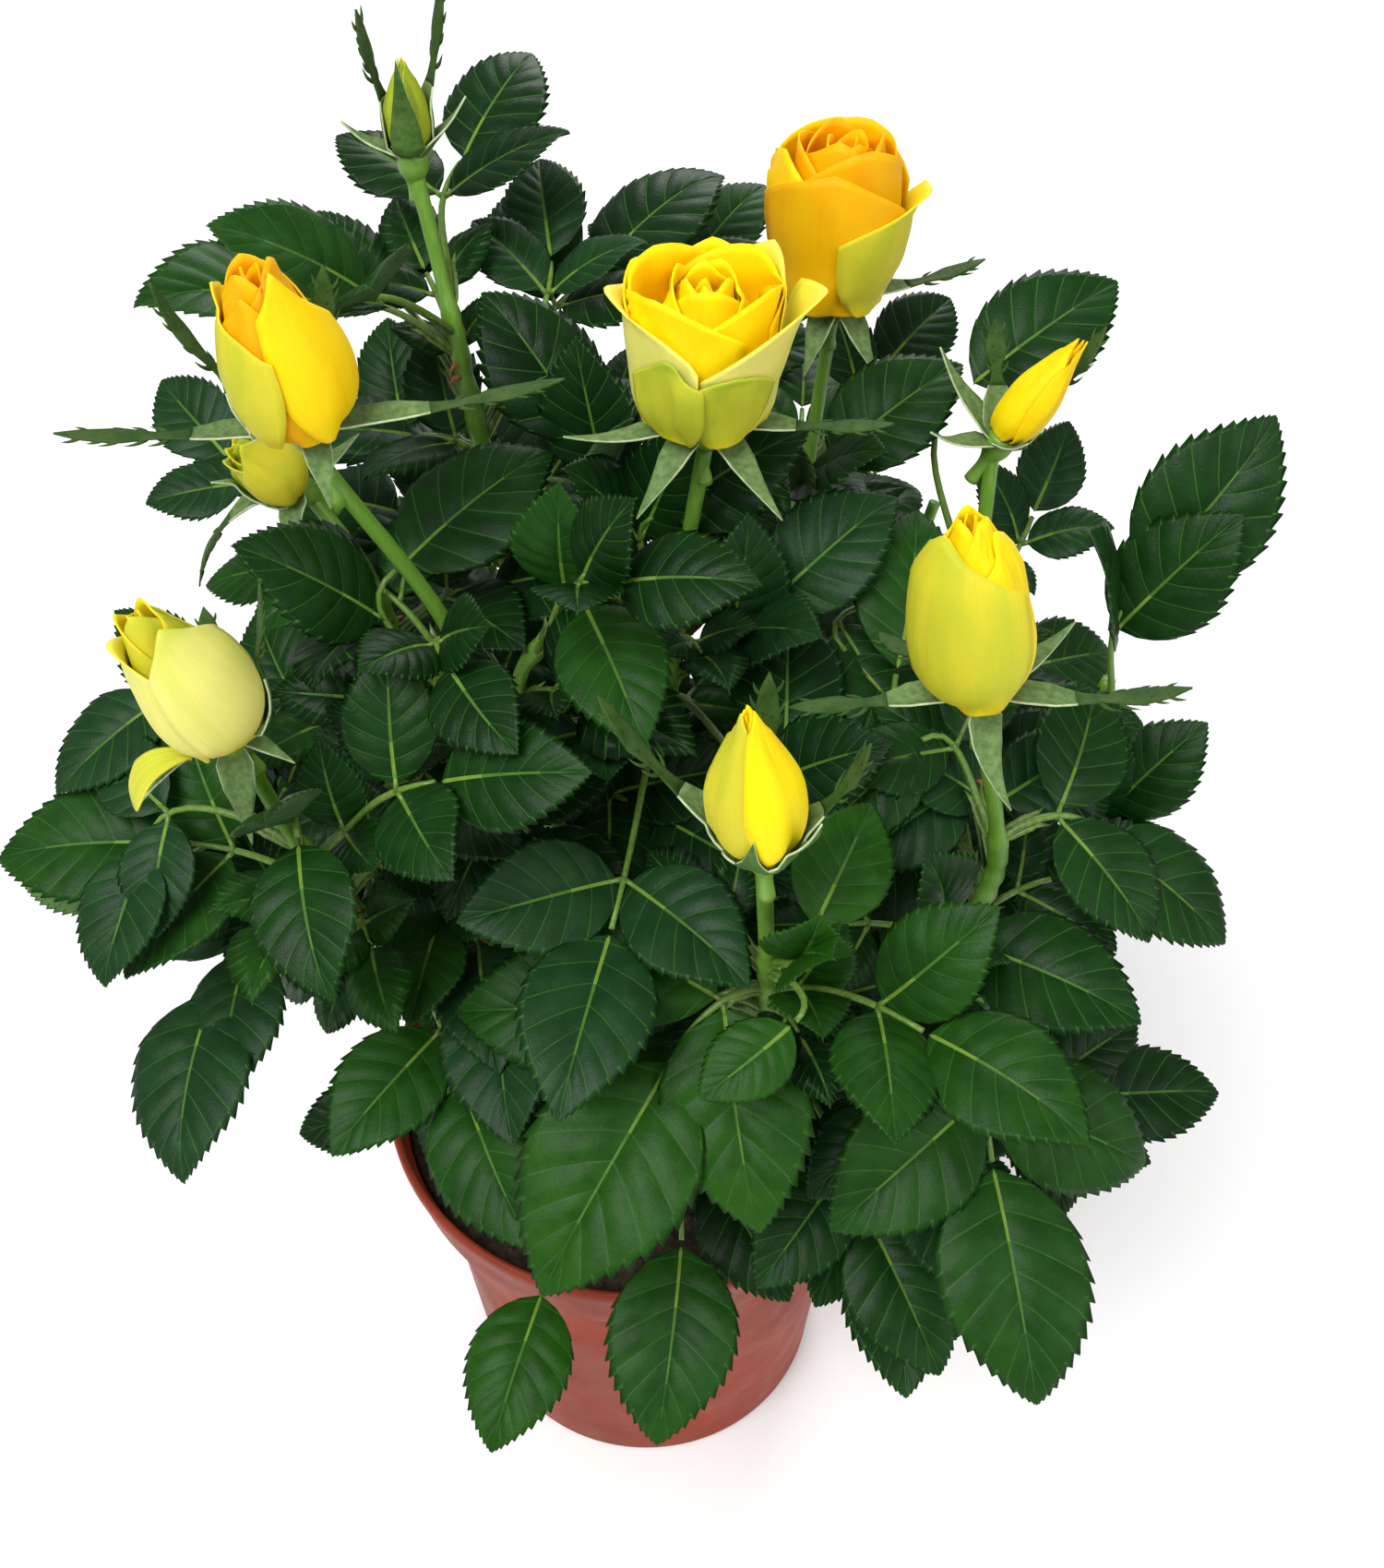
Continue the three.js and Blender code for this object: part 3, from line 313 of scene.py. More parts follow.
# The finer leaves that the solids leave out, between and inside the others.
FINE_SPACING = 7
FINE_LENGTH = (15, 25)
FINE_STALK = (12, 24)
FINE_RADIUS = 105
FINE_FLOOR = 112
FINE_SEED = 21

# The rest of the growth rule, as in the solids.
STEM_BEND = (0.2, 0.4)  # a stem has this share of its lean at this share of its height
KNUCKLE = (0.9, 0.86, 0.12)  # on top of a stem: how much wider, at which share, half its length as a share
STEM_TIP = (0.95, 1.6)  # from this share on, a stem is this much slimmer
CANE_ELBOW = 9  # how far out and up a cane springs before it takes its route
JOINT_MARGIN = 4  # from the ends of a shoot's foliage to its first and last joint
JOINT_STEP = 0.01  # the steps, as shares, in which a leaf's joint is looked for along its shoot
HUB_BACK, HUB_DROP = 0.9, 10  # a listed leaf comes from that share of its length behind, and from below
FILL_SWINGS = (0, 30, -30, 60, -60)
RISE_SPREAD = 14
STALK_LIFT = 12  # degrees: a stalk rises this much more than the middle of its leaf, and the end leaflet less
FIVE_LEAFLETS = 0.45  # the share of leaves with five leaflets
OWN_SPACE = 0.8  # every other shoot is at least this many times as far from a leaf's hub as its own shoot
PETIOLE_REACH = 0.42  # how far a petiole's curve is led from either end, as a share of the distance
PETIOLE_SPREAD = 0.7  # how much of that goes out, and how much up, at its foot
PETIOLE_ROOM = 0.4
LOWEST_LEAFLET = 0.2  # no leaflet sits lower on its petiole, as a share
LEAFLET_START = 1.5 * PETIOLE_RADIUS  # a leaflet starts this far from its petiole's middle line
LENS_FOOT, LENS_TIP = (0.27, 0.94), (0.66, 0.86)  # corners: share of the length, share of half the width
LENS_THICKEST = 0.46
BLOOM_OUTLINE = ((0, 0.16, 0.42, 0.7, 0.9, 1.0), (0.4, 0.8, 1, 0.95, 0.7, 0.2))  # shares: rise, radius
HIP_SHARE, LEAST_HIP = 0.24, 2.6  # the hip's radius: of the bloom's, and at least
SEPAL_FOOT = 1.3  # how far under the bloom's foot a sepal starts
SEPAL_STEPS = 6
SEPAL_HALF = 2.0  # half a solid sepal's width at its foot, which narrows to a tenth

X = np.array((1.0, 0, 0))
UP = np.array((0, 0, 1.0))
FRONT = np.array((0, -1.0, 0))


# ---- helpers ----------------------------------------------------------------------------------------
def vec(*values):
    return np.array(values, float)


def unit(v):
    return v / np.linalg.norm(v)


def lerp(a, b, share):
    return a + (b - a) * share


def heading(azimuth, rise):
    """The unit vector at an azimuth from +X and a rise above the horizontal, in degrees."""
    turn, tilt = math.radians(azimuth), math.radians(rise)
    return vec(math.cos(tilt) * math.cos(turn), math.cos(tilt) * math.sin(turn), math.sin(tilt))


def turned(v, axis, degrees):
    """v turned about a unit axis."""
    angle = math.radians(degrees)
    return (
        v * math.cos(angle) + np.cross(axis, v) * math.sin(angle) + axis * (axis @ v) * (1 - math.cos(angle))
    )


def seeded(seed):
    """A seeded run of numbers from 0 to 1, the same as the solids use."""
    mask = 0xFFFFFFFF
    state = seed & mask

    def step():
        nonlocal state
        state = (state + 0x6D2B79F5) & mask
        mixed = ((state ^ (state >> 15)) * (state | 1)) & mask
        mixed ^= (mixed + (((mixed ^ (mixed >> 7)) * (mixed | 61)) & mask)) & mask
        return ((mixed ^ (mixed >> 14)) & mask) / 4294967296

    return step


class Path:
    """A curve that is walked by shares of its length."""

    DIVISIONS = 200
    STEP = 1e-4

    def __init__(self, at):
        self.at = at
        self.params = np.linspace(0, 1, self.DIVISIONS + 1)
        pieces = np.linalg.norm(np.diff(at(self.params), axis=0), axis=1)
        self.marks = np.concatenate(([0], np.cumsum(pieces)))
        self.length = self.marks[-1]

    def param(self, share):
        return np.interp(np.asarray(share, float) * self.length, self.marks, self.params)

    def point(self, share):
        return self.at(self.param(share))

    def tangent(self, share):
        middle = self.param(share)
        ahead, behind = np.minimum(middle + self.STEP, 1), np.maximum(middle - self.STEP, 0)
        delta = self.at(ahead) - self.at(behind)
        return delta / np.linalg.norm(delta, axis=-1, keepdims=True)


def spline(points):
    """A Catmull-Rom curve through points."""
    points = np.array(points, float)
    ends = np.concatenate(([2 * points[0] - points[1]], points, [2 * points[-1] - points[-2]]))

    def at(param):
        place = np.asarray(param, float) * (len(points) - 1)
        index = np.minimum(place.astype(int), len(points) - 2)
        w = (place - index)[..., None]
        before, here, there, beyond = (ends[index + k] for k in range(4))
        leave, enter = 0.5 * (there - before), 0.5 * (beyond - here)
        return (
            here + leave * w + (-3 * here + 3 * there - 2 * leave - enter) * w**2
            + (2 * here - 2 * there + leave + enter) * w**3
        )

    return Path(at)


def bezier(start, leave, enter, end):
    """A cubic curve from start to end, led by the two points between them."""
    def at(param):
        w = np.asarray(param, float)[..., None]
        return start * (1 - w) ** 3 + 3 * leave * w * (1 - w) ** 2 + 3 * enter * w**2 * (1 - w) + end * w**3

    return Path(at)


def smooth(x, low, high):
    """0 up to low, 1 from high on, and a smooth rise between them."""
    share = np.clip((x - low) / (high - low), 0, 1)
    return share * share * (3 - 2 * share)


def eased(keys, values, at):
    """A smooth curve through keyed values."""
    at = np.asarray(at, float)
    index = np.clip(np.searchsorted(keys, at, side="right") - 1, 0, len(keys) - 2)
    keys, values = np.array(keys, float), np.array(values, float)
    slopes = np.gradient(values, keys)
    span = keys[index + 1] - keys[index]
    w = (at - keys[index]) / span
    return (
        (2 * w**3 - 3 * w**2 + 1) * values[index]
        + (w**3 - 2 * w**2 + w) * span * slopes[index]
        + (3 * w**2 - 2 * w**3) * values[index + 1]
        + (w**3 - w**2) * span * slopes[index + 1]
    )


def full_turn(sides):
    return np.linspace(0, 2 * math.pi, sides, endpoint=False)


def add_object(name, data):
    made = bpy.data.objects.new(name, data)
    bpy.context.scene.collection.objects.link(made)
    return made


class Shape:
    """Gathers points, faces, the material of each face, and at each point three values that a material may
    read: rise, across and shade."""

    def __init__(self):
        self.points, self.faces, self.slots, self.values = [], [], [], []
        self.count = 0

    def add(self, points, faces, slots=0, values=None):
        points = np.asarray(points, float).reshape(-1, 3)
        self.points.append(points)
        self.values.append(np.zeros((len(points), 3)) if values is None else np.asarray(values, float))
        for group, kinds in faces if isinstance(faces, list) else [(faces, slots)]:
            group = np.asarray(group, np.int64)
            self.faces.append(group + self.count)
            self.slots.append(np.broadcast_to(np.asarray(kinds), (len(group),)))
        self.count += len(points)

    def piece(self, name, slot, materials, replaces=()):
        """The mesh as a piece that rides on the plant's one body."""
        mesh = bpy.data.meshes.new(name)
        points = np.concatenate(self.points) * MM
        loops = np.concatenate([group.ravel() for group in self.faces])
        sizes = np.concatenate([np.full(len(group), group.shape[1]) for group in self.faces])
        mesh.vertices.add(len(points))
        mesh.vertices.foreach_set("co", points.astype(np.float32).ravel())
        mesh.loops.add(len(loops))
        mesh.loops.foreach_set("vertex_index", loops.astype(np.int32))
        mesh.polygons.add(len(sizes))
        starts = np.concatenate(([0], np.cumsum(sizes)[:-1]))
        mesh.polygons.foreach_set("loop_start", starts.astype(np.int32))
        mesh.polygons.foreach_set("material_index", np.concatenate(self.slots).astype(np.int32))
        mesh.polygons.foreach_set("use_smooth", np.ones(len(sizes), bool))
        values = np.concatenate(self.values)
        for index, key in enumerate(("rise", "across", "shade")):
            kept = mesh.attributes.new(key, "FLOAT", "POINT")
            kept.data.foreach_set("value", values[:, index].astype(np.float32))
        mesh.update(calc_edges=True)
        mesh.validate()
        for each in materials:
            mesh.materials.append(each)
        made = add_object(name, mesh)
        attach(made, "root")
        if replaces:
            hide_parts(*replaces)


def grid_faces(rows, columns, closed=False, flip=False):
    """Quads of a grid of points, row by row. A closed grid's last column joins its first."""
    across = columns if closed else columns - 1
    i, j = np.meshgrid(np.arange(rows - 1), np.arange(across), indexing="ij")
    k = (j + 1) % columns
    quads = np.stack([i * columns + j, i * columns + k, (i + 1) * columns + k, (i + 1) * columns + j], -1)
    quads = quads.reshape(-1, 4)
    return quads[:, ::-1] if flip else quads


def add_body(shape, rings, ends, slot=0, rise=0, flip=False):
    """A closed body from rings of points and the middle points of its two ends."""
    count, sides = rings.shape[:2]
    points = np.concatenate((rings.reshape(-1, 3), ends))
    here, after = np.arange(sides), (np.arange(sides) + 1) % sides
    last, middle = (count - 1) * sides, np.full(sides, count * sides)
    faces = [
        grid_faces(count, sides, closed=True),
        np.stack([middle, after, here], -1),
        np.stack([middle + 1, last + here, last + after], -1),
    ]
    values = np.zeros((len(points), 3))
    values[:, 0] = rise
    shape.add(points, [(group[:, ::-1] if flip else group, slot) for group in faces], values=values)


def rings_round(centres, tangents, radii, sides):
    """Rings of points across a line. The radii are by ring and by side."""
    first = np.cross(tangents, X)
    first /= np.linalg.norm(first, axis=1, keepdims=True)
    second = np.cross(tangents, first)
    turn = full_turn(sides)[None, :, None]
    arms = first[:, None] * np.cos(turn) + second[:, None] * np.sin(turn)
    return centres[:, None] + radii[..., None] * arms


def add_tube(shape, path, span, radius, sides=10, steps=12, slot=0):
    """A round limb along a stretch of a path. radius takes a share and gives millimetres."""
    shares = np.linspace(span[0], span[1], steps + 1)
    centres = path.point(shares)
    radii = np.array([radius(share) for share in shares])[:, None]
    rings = rings_round(centres, path.tangent(shares), radii, sides)
    rise = np.append(np.repeat(shares, sides), (0, 0))
    add_body(shape, rings, [centres[0], centres[-1]], slot, rise)


def add_sheet(shape, grid, thickness, slots, rise=None, across=None, shade=0):
    """A closed thin sheet from a grid of points: a front layer, a back layer behind it, and a rim round both.
    slots are the materials of the front, the back and the rim, which is as the back if it isn't named."""
    rows, columns = grid.shape[:2]
    normals = np.cross(np.gradient(grid, axis=1), np.gradient(grid, axis=0))
    normals /= np.maximum(np.linalg.norm(normals, axis=2, keepdims=True), 1e-9)
    back = grid - normals * thickness
    count = rows * columns
    points = np.concatenate((grid.reshape(-1, 3), back.reshape(-1, 3)))
    here = np.concatenate((
        np.arange(columns), np.arange(2, rows + 1) * columns - 1,
        count - 2 - np.arange(columns - 1), (np.arange(rows - 2, 0, -1)) * columns,
    ))
    after = np.roll(here, -1)
    values = np.zeros((2 * count, 3))
    if rise is not None:
        values[:, 0] = np.tile(rise.ravel(), 2)
        values[:, 1] = np.tile(across.ravel(), 2)
    values[:, 2] = shade
    faces = [
        (grid_faces(rows, columns), slots[0]),
        (grid_faces(rows, columns, flip=True) + count, slots[1]),
        (np.stack([after, here, here + count, after + count], -1), slots[-1]),
    ]
    shape.add(points, faces, values=values)


# ---- materials ----------------------------------------------------------------------------------------
def linear(red, green, blue):
    """An sRGB colour of 0 to 255 as the linear colour that a shader takes."""
    def channel(value):
        value /= 255
        return value / 12.92 if value <= 0.04045 else ((value + 0.055) / 1.055) ** 2.4

    return (channel(red), channel(green), channel(blue), 1)


class Surface:
    """A material with a Principled shader, and short calls for the nodes that feed it. fixed holds values of
    the shader's inputs, by name with _ for a space."""

    def __init__(self, name, roughness, **fixed):
        self.material = bpy.data.materials.new(name)
        self.material.use_nodes = True
        self.tree = self.material.node_tree
        self.shader = self.tree.nodes["Principled BSDF"]
        self.shader.inputs["Roughness"].default_value = roughness
        for key, value in fixed.items():
            self.shader.inputs[key.replace("_", " ")].default_value = value
        self.coordinates = self.node("ShaderNodeTexCoord").outputs["Object"]

    def node(self, kind, inputs=None, **settings):
        made = self.tree.nodes.new(kind)
        for key, value in settings.items():
            setattr(made, key, value)
        for key, value in (inputs or {}).items():
            if isinstance(value, bpy.types.NodeSocket):
                self.tree.links.new(value, made.inputs[key])
            else:
                made.inputs[key].default_value = value
        return made

    def value(self, name):
        return self.node("ShaderNodeAttribute", attribute_name=name).outputs["Fac"]

    def noise(self, scale, detail, roughness=0.55, vector=None):
        inputs = {"Scale": scale, "Detail": detail, "Roughness": roughness}
        inputs["Vector"] = vector or self.coordinates
        return self.node("ShaderNodeTexNoise", inputs).outputs["Fac"]

    def cells(self, scale, feature="F1"):
        inputs = {"Vector": self.coordinates, "Scale": scale}
        return self.node("ShaderNodeTexVoronoi", inputs, feature=feature).outputs["Distance"]

    def vector(self, x, y, z):
        return self.node("ShaderNodeCombineXYZ", {"X": x, "Y": y, "Z": z}).outputs[0]

    def times(self, a, b):
        return self.node("ShaderNodeMath", {0: a, 1: b}, operation="MULTIPLY").outputs[0]

    def fibres(self, detail, roughness, *scales):
        """Noise that is stretched along Z."""
        inputs = {0: self.coordinates, 1: scales}
        vector = self.node("ShaderNodeVectorMath", inputs, operation="MULTIPLY").outputs[0]
        return self.noise(1, detail, roughness, vector)

    def ramp(self, factor, stops):
        """A colour or a level by a factor: stops are (place, colour)."""
        made = self.node("ShaderNodeValToRGB", {"Fac": factor})
        made.color_ramp.interpolation = "EASE"
        elements = made.color_ramp.elements
        while len(elements) < len(stops):
            elements.new(0.5)
        for element, (place, colour) in zip(elements, stops):
            element.position = place
            element.color = colour if isinstance(colour, tuple) else (colour, colour, colour, 1)
        return made.outputs["Color"]

    def mix(self, factor, a, b):
        """Colour a, with b over it by the factor. Inputs 6 and 7 and output 2 of the node are its colours."""
        return self.node("ShaderNodeMix", {0: factor, 6: a, 7: b}, data_type="RGBA").outputs[2]

    def colour(self, socket):
        self.tree.links.new(socket, self.shader.inputs["Base Color"])

    def roughness(self, socket):
        self.tree.links.new(socket, self.shader.inputs["Roughness"])

    def bump(self, *layers):
        """Bumps on one another: (height, strength, distance in metres)."""
        last = None
        for height, strength, distance in layers:
            inputs = {"Height": height, "Strength": strength, "Distance": distance}
            if last:
                inputs["Normal"] = last
            last = self.node("ShaderNodeBump", inputs).outputs[0]
        self.tree.links.new(last, self.shader.inputs["Normal"])


def pot_material():
    surface = Surface("terracotta_plastic", 0.5, Specular_IOR_Level=0.2)
    patches = surface.ramp(surface.noise(26, 4), [(0.3, linear(124, 44, 22)), (0.7, linear(144, 56, 31))])
    dust = surface.ramp(surface.noise(140, 5, 0.7), [(0.56, 0.0), (0.8, 0.5)])
    surface.colour(surface.mix(dust, patches, linear(150, 76, 52)))
    surface.roughness(surface.ramp(surface.noise(60, 4), [(0.3, 0.42), (0.7, 0.62)]))
    surface.bump((surface.noise(900, 3), 0.12, 0.0003), (surface.noise(38, 2), 0.15, 0.0008))
    return surface.material


def soil_material():
    surface = Surface("potting_soil", 0.95)
    grains = surface.ramp(surface.noise(420, 6, 0.7), [(0.3, linear(26, 18, 13)), (0.72, linear(74, 54, 38))])
    surface.colour(grains)
    surface.bump((surface.noise(300, 6, 0.75), 0.9, 0.0016), (surface.cells(260), 0.6, 0.001))
    return surface.material


def bark_material():
    surface = Surface("rose_bark", 0.8)
    streaks = surface.fibres(5, 0.65, 900, 900, 160)
    colours = [(0.3, linear(86, 70, 44)), (0.5, linear(122, 110, 62)), (0.72, linear(150, 138, 92))]
    surface.colour(surface.ramp(streaks, colours))
    surface.bump((streaks, 0.8, 0.0006))
    return surface.material


def cane_material(name, low, high):
    """Green bark: low and high are its colours at the foot and the top of a shoot."""
    surface = Surface(name, 0.42, Subsurface_Weight=0.12, Subsurface_Scale=0.002)
    along = surface.ramp(surface.value("rise"), [(0.1, linear(*low)), (0.6, linear(*high))])
    fibres = surface.fibres(3, 0.5, 1500, 1500, 120)
    streaks = surface.ramp(fibres, [(0.35, 0.0), (0.75, 0.55)])
    surface.colour(surface.mix(streaks, along, linear(118, 150, 58)))
    surface.bump((fibres, 0.15, 0.0002))
    return surface.material


def blade_material(name, dark, light, roughness):
    """A leaf's glossy upper side, mottled between two greens, with the fine net of its smallest veins."""
    surface = Surface(name, roughness, Specular_IOR_Level=0.11)
    mottle = surface.noise(160, 4, 0.6)
    surface.colour(surface.ramp(mottle, [(0.34, linear(*dark)), (0.68, linear(*light))]))
    net = surface.cells(900, "DISTANCE_TO_EDGE")
    surface.bump((surface.ramp(net, [(0.0, 0.0), (0.12, 1.0)]), 0.16, 0.00012), (mottle, 0.2, 0.0004))
    return surface.material


def plain_material(name, dark, light, roughness, scale=300):
    """A dull surface, speckled between two colours."""
    surface = Surface(name, roughness, Specular_IOR_Level=0.12)
    speckle = surface.noise(scale, 4, 0.6)
    surface.colour(surface.ramp(speckle, [(0.3, linear(*dark)), (0.7, linear(*light))]))
    surface.bump((speckle, 0.2, 0.0002))
    return surface.material


def petal_material(name, foot, body, rim, streak):
    """A petal's side: its colours from the foot over the body to the rim, and the streaks that run up it."""
    surface = Surface(
        name, 0.55, Subsurface_Weight=0.2, Subsurface_Scale=0.004, Subsurface_Radius=(1.0, 0.7, 0.15),
        Specular_IOR_Level=0.15,
    )
    rise, across, shade = (surface.value(key) for key in ("rise", "across", "shade"))

    def flow(detail, roughness, wide, long):
        """Noise that runs up the petal."""
        place = surface.vector(surface.times(across, wide), surface.times(rise, long), shade)
        return surface.noise(1, detail, roughness, place)

    stops = [(0.0, linear(*foot)), (0.28, linear(*body)), (0.84, linear(*body)), (1.0, linear(*rim))]
    base = surface.ramp(rise, stops)
    lines, broad = flow(4, 0.6, 26, 2.2), flow(2, 0.5, 1.6, 1.4)
    tinted = surface.mix(surface.ramp(broad, [(0.42, 0.0), (0.66, 0.5)]), base, linear(*streak))
    surface.colour(surface.mix(surface.ramp(lines, [(0.5, 0.0), (0.8, 0.35)]), tinted, linear(*streak)))
    surface.bump((lines, 0.18, 0.0004), (broad, 0.3, 0.0012))
    return surface.material


# The outside and the inside of a petal, each with its foot, body, rim and streak.
PETAL_COLOURS = {
    "amber": (
        ((236, 186, 10), (230, 170, 0), (232, 166, 0), (224, 146, 0)),
        ((246, 170, 0), (250, 168, 0), (252, 180, 0), (244, 146, 0)),
    ),
    "gold": (
        ((244, 214, 30), (248, 204, 4), (246, 210, 20), (248, 186, 0)),
        ((246, 180, 0), (250, 190, 0), (250, 200, 0), (248, 168, 0)),
    ),
    "yellow": (
        ((238, 206, 10), (248, 218, 8), (248, 214, 10), (250, 196, 0)),
        ((248, 190, 0), (252, 206, 0), (252, 214, 8), (250, 186, 0)),
    ),
    "lemon": (
        ((224, 190, 6), (202, 190, 44), (184, 188, 48), (160, 176, 38)),
        ((244, 200, 0), (236, 206, 24), (232, 210, 40), (228, 196, 10)),
    ),
    "cream": (
        ((226, 198, 16), (222, 214, 112), (186, 196, 72), (192, 200, 78)),
        ((240, 204, 6), (234, 214, 60), (226, 216, 84), (230, 204, 36)),
    ),
    "lime": (
        ((210, 194, 14), (184, 186, 46), (134, 158, 34), (146, 166, 38)),
        ((214, 198, 40), (196, 194, 60), (160, 178, 52), (176, 182, 48)),
    ),
    "green": (
        ((128, 150, 38), (160, 172, 38), (138, 158, 38), (100, 130, 34)),
        ((200, 196, 40), (214, 206, 30), (196, 196, 36), (170, 180, 40)),
    ),
}

# The upper side of a leaf: its dark and its light green, and its roughness.
TONES = {
    "deep": ((10, 36, 10), (15, 45, 13), 0.38),
    "dark": ((14, 44, 11), (20, 54, 15), 0.4),
    # a painted sheen: this bluish grey stands in for the soft reflection of the sky that some leaves show
    "sheen_grey": ((19, 48, 21), (26, 58, 27), 0.4),
    "mid": ((20, 56, 10), (28, 68, 15), 0.42),
    "fresh": ((23, 62, 7), (32, 75, 12), 0.42),
    "pale": ((70, 100, 52), (84, 116, 62), 0.55),
}
# What a leaf without a tone of its own is dealt. A tone that is named twice comes up twice as often.
ORDINARY = ("deep", "dark", "dark", "sheen_grey", "deep", "mid")


# ---- growth: the solids' rule -------------------------------------------------------------------------
# What has grown so far, for the clearance tests: the box, the faces and the owner of each thing.
grown_boxes, grown_trees, grown_owners = [], [], []


def tree_of(points, faces):
    return BVHTree.FromPolygons([tuple(p) for p in points], [tuple(f) for f in faces], all_triangles=True)


def remember(points, faces, owner):
    grown_boxes.append((points.min(0), points.max(0)))
    grown_trees.append(tree_of(points, faces))
    grown_owners.append(owner)


def is_clear(points, faces, *ignored):
    """Whether a thing touches nothing that has grown, apart from what the ignored owners have."""
    low, high = points.min(0), points.max(0)
    boxes = np.array(grown_boxes)
    near = np.nonzero(np.all((boxes[:, 1] >= low) & (boxes[:, 0] <= high), axis=1))[0]
    near = [i for i in near if grown_owners[i] not in ignored]
    if not near:
        return True
    tree = tree_of(points, faces)
    return not any(tree.overlap(grown_trees[i]) for i in near)


def triangles(quads):
    return [(q[0], q[1], q[2]) for q in quads] + [(q[0], q[2], q[3]) for q in quads]


def prism(path, span, radius, sides, steps, extra=0.0, reference=X):
    """The plain limb of the solids, for the clearance tests."""
    turn = 2 * math.pi * np.arange(sides) / sides
    rings = []
    for share in np.linspace(span[0], span[1], steps + 1):
        tangent = path.tangent(share)
        side = unit(np.cross(tangent, reference))
        other = np.cross(tangent, side)
        arms = np.cos(turn)[:, None] * side + np.sin(turn)[:, None] * other
        rings.append(path.point(share) + (radius(share) + extra) * arms)
    faces = triangles(grid_faces(steps + 1, sides, closed=True))
    last = steps * sides
    faces += [(0, j + 1, j) for j in range(1, sides - 1)]
    faces += [(last, last + j, last + j + 1) for j in range(1, sides - 1)]
    return np.concatenate(rings), faces


LENS_FACES = [(i, (i + 1) % 6, 6) for i in range(6)] + [((i + 1) % 6, i, 7) for i in range(6)]


def lens(blade, extra=0.0, grow=1.0):
    """The solids' leaflet, for the clearance tests."""
    base, direction, length = blade["base"], blade["direction"], blade["length"]
    normal = unit(blade["up"] - direction * (blade["up"] @ direction))
    side = np.cross(direction, normal)
    half = LEAFLET_WIDTH * length * grow / 2
    thick = LEAFLET_THICKNESS * length / 2 + extra

    def at(share, across, lift=0):
        width = across * half
        height = LEAFLET_ARCH * length * 4 * share * (1 - share) + LEAFLET_FOLD * abs(width) + lift
        return base + direction * share * length + side * width + normal * height

    (foot, foot_width), (tip, tip_width) = LENS_FOOT, LENS_TIP
    return np.array([
        base + direction * LEAFLET_START, at(foot, foot_width), at(tip, tip_width), at(grow, 0),
        at(tip, -tip_width), at(foot, -foot_width), at(LENS_THICKEST, 0, thick), at(LENS_THICKEST, 0, -thick),
    ])


# What is tried in turn where a leaf isn't clear: a leaflet's swing and lift in degrees, and for a listed
# leaf the shift of its hub in millimetres.
TWISTS = (
    (0, 0), (0, 10), (0, -10), (12, 0), (-12, 0), (0, 20), (0, -20), (22, 8), (-22, 8), (20, -14), (-20, -14),
)
SHIFTS = (
    (0, 0, 0), (0, 0, 4), (0, 0, -4), (4, 0, 0), (-4, 0, 0), (0, -4, 3), (0, 4, -3), (0, 0, 8), (0, 0, -8),
    (7, 0, 3), (-7, 0, 3), (0, -8, 4), (0, 8, -4), (0, 0, 13), (0, 0, -13),
)
ELBOW_ROOM = {"extra": 0.35, "grow": 1.04}  # a leaflet is tried a little thicker and larger than it is


def place_leaflet(owner, blade, tangent, turn):
    """The first small twist that leaves the leaflet clear of everything else."""
    for swing, lift in TWISTS:
        direction = turned(tangent, blade["up"], turn + swing)
        direction = unit(direction + UP * math.tan(math.radians(lift)))
        placed = {**blade, "direction": direction}
        if is_clear(lens(placed, **ELBOW_ROOM), LENS_FACES, owner):
            return placed
    return None


def petiole(_share):
    return PETIOLE_RADIUS


def petiole_prism(stalk, extra=0.0):
    return prism(stalk, (0, 1), petiole, 3, 6, extra, reference=UP)


leaves = []


def grow_leaf(shoot, joint, hub, azimuth, rise, length, count, tone=None, fine=False):
    """Adds a compound leaf where it is clear, and says whether it did."""
    owner = ("leaf", len(leaves))
    direction = heading(azimuth, rise)
    start = shoot["path"].point(joint)
    reach = PETIOLE_REACH * np.linalg.norm(hub - start)
    outward = unit((hub - start) * (1, 1, 0))
    leave = start + outward * PETIOLE_SPREAD * reach + UP * PETIOLE_SPREAD * reach
    stalk = bezier(start, leave, hub - direction * reach, hub)
    own_stem = ("stem", shoot["number"])
    if not is_clear(*petiole_prism(stalk, PETIOLE_ROOM), own_stem):
        return False
    up = unit(UP + OUTWARD_TILT * unit(hub * (1, 1, 0)) + FRONT_TILT * FRONT)
    blades = []
    for behind, hand, turn, size in LEAFLETS[:count]:
        share = 1 - behind * length / stalk.length
        if share < LOWEST_LEAFLET:
            continue
        blade = {"base": stalk.point(share), "up": up, "hand": hand, "length": size * length}
        placed = place_leaflet(owner, blade, stalk.tangent(share), -hand * turn)
        if placed:
            blades.append(placed)
        elif not hand:
            return False
    for blade in blades:
        if not is_clear(lens(blade), LENS_FACES, owner, own_stem):
            return False
    remember(*petiole_prism(stalk), owner)
    for blade in blades:
        remember(lens(blade), LENS_FACES, owner)
    leaves.append({
        "shoot": shoot, "joint": joint, "stalk": stalk, "up": up, "blades": blades,
        "tone": tone, "fine": fine,
    })
    return True


def stem_path(stem):
    (x, y), (dx, dy) = stem["foot"], stem["lean"]
    lean, rise = STEM_BEND
    return spline([
        (x, y, SOIL_LEVEL + GAP),
        (x + lean * dx, y + lean * dy, SOIL_LEVEL + GAP + rise * STEM_HEIGHT),
        (x + dx, y + dy, SOIL_LEVEL + STEM_HEIGHT),
    ])


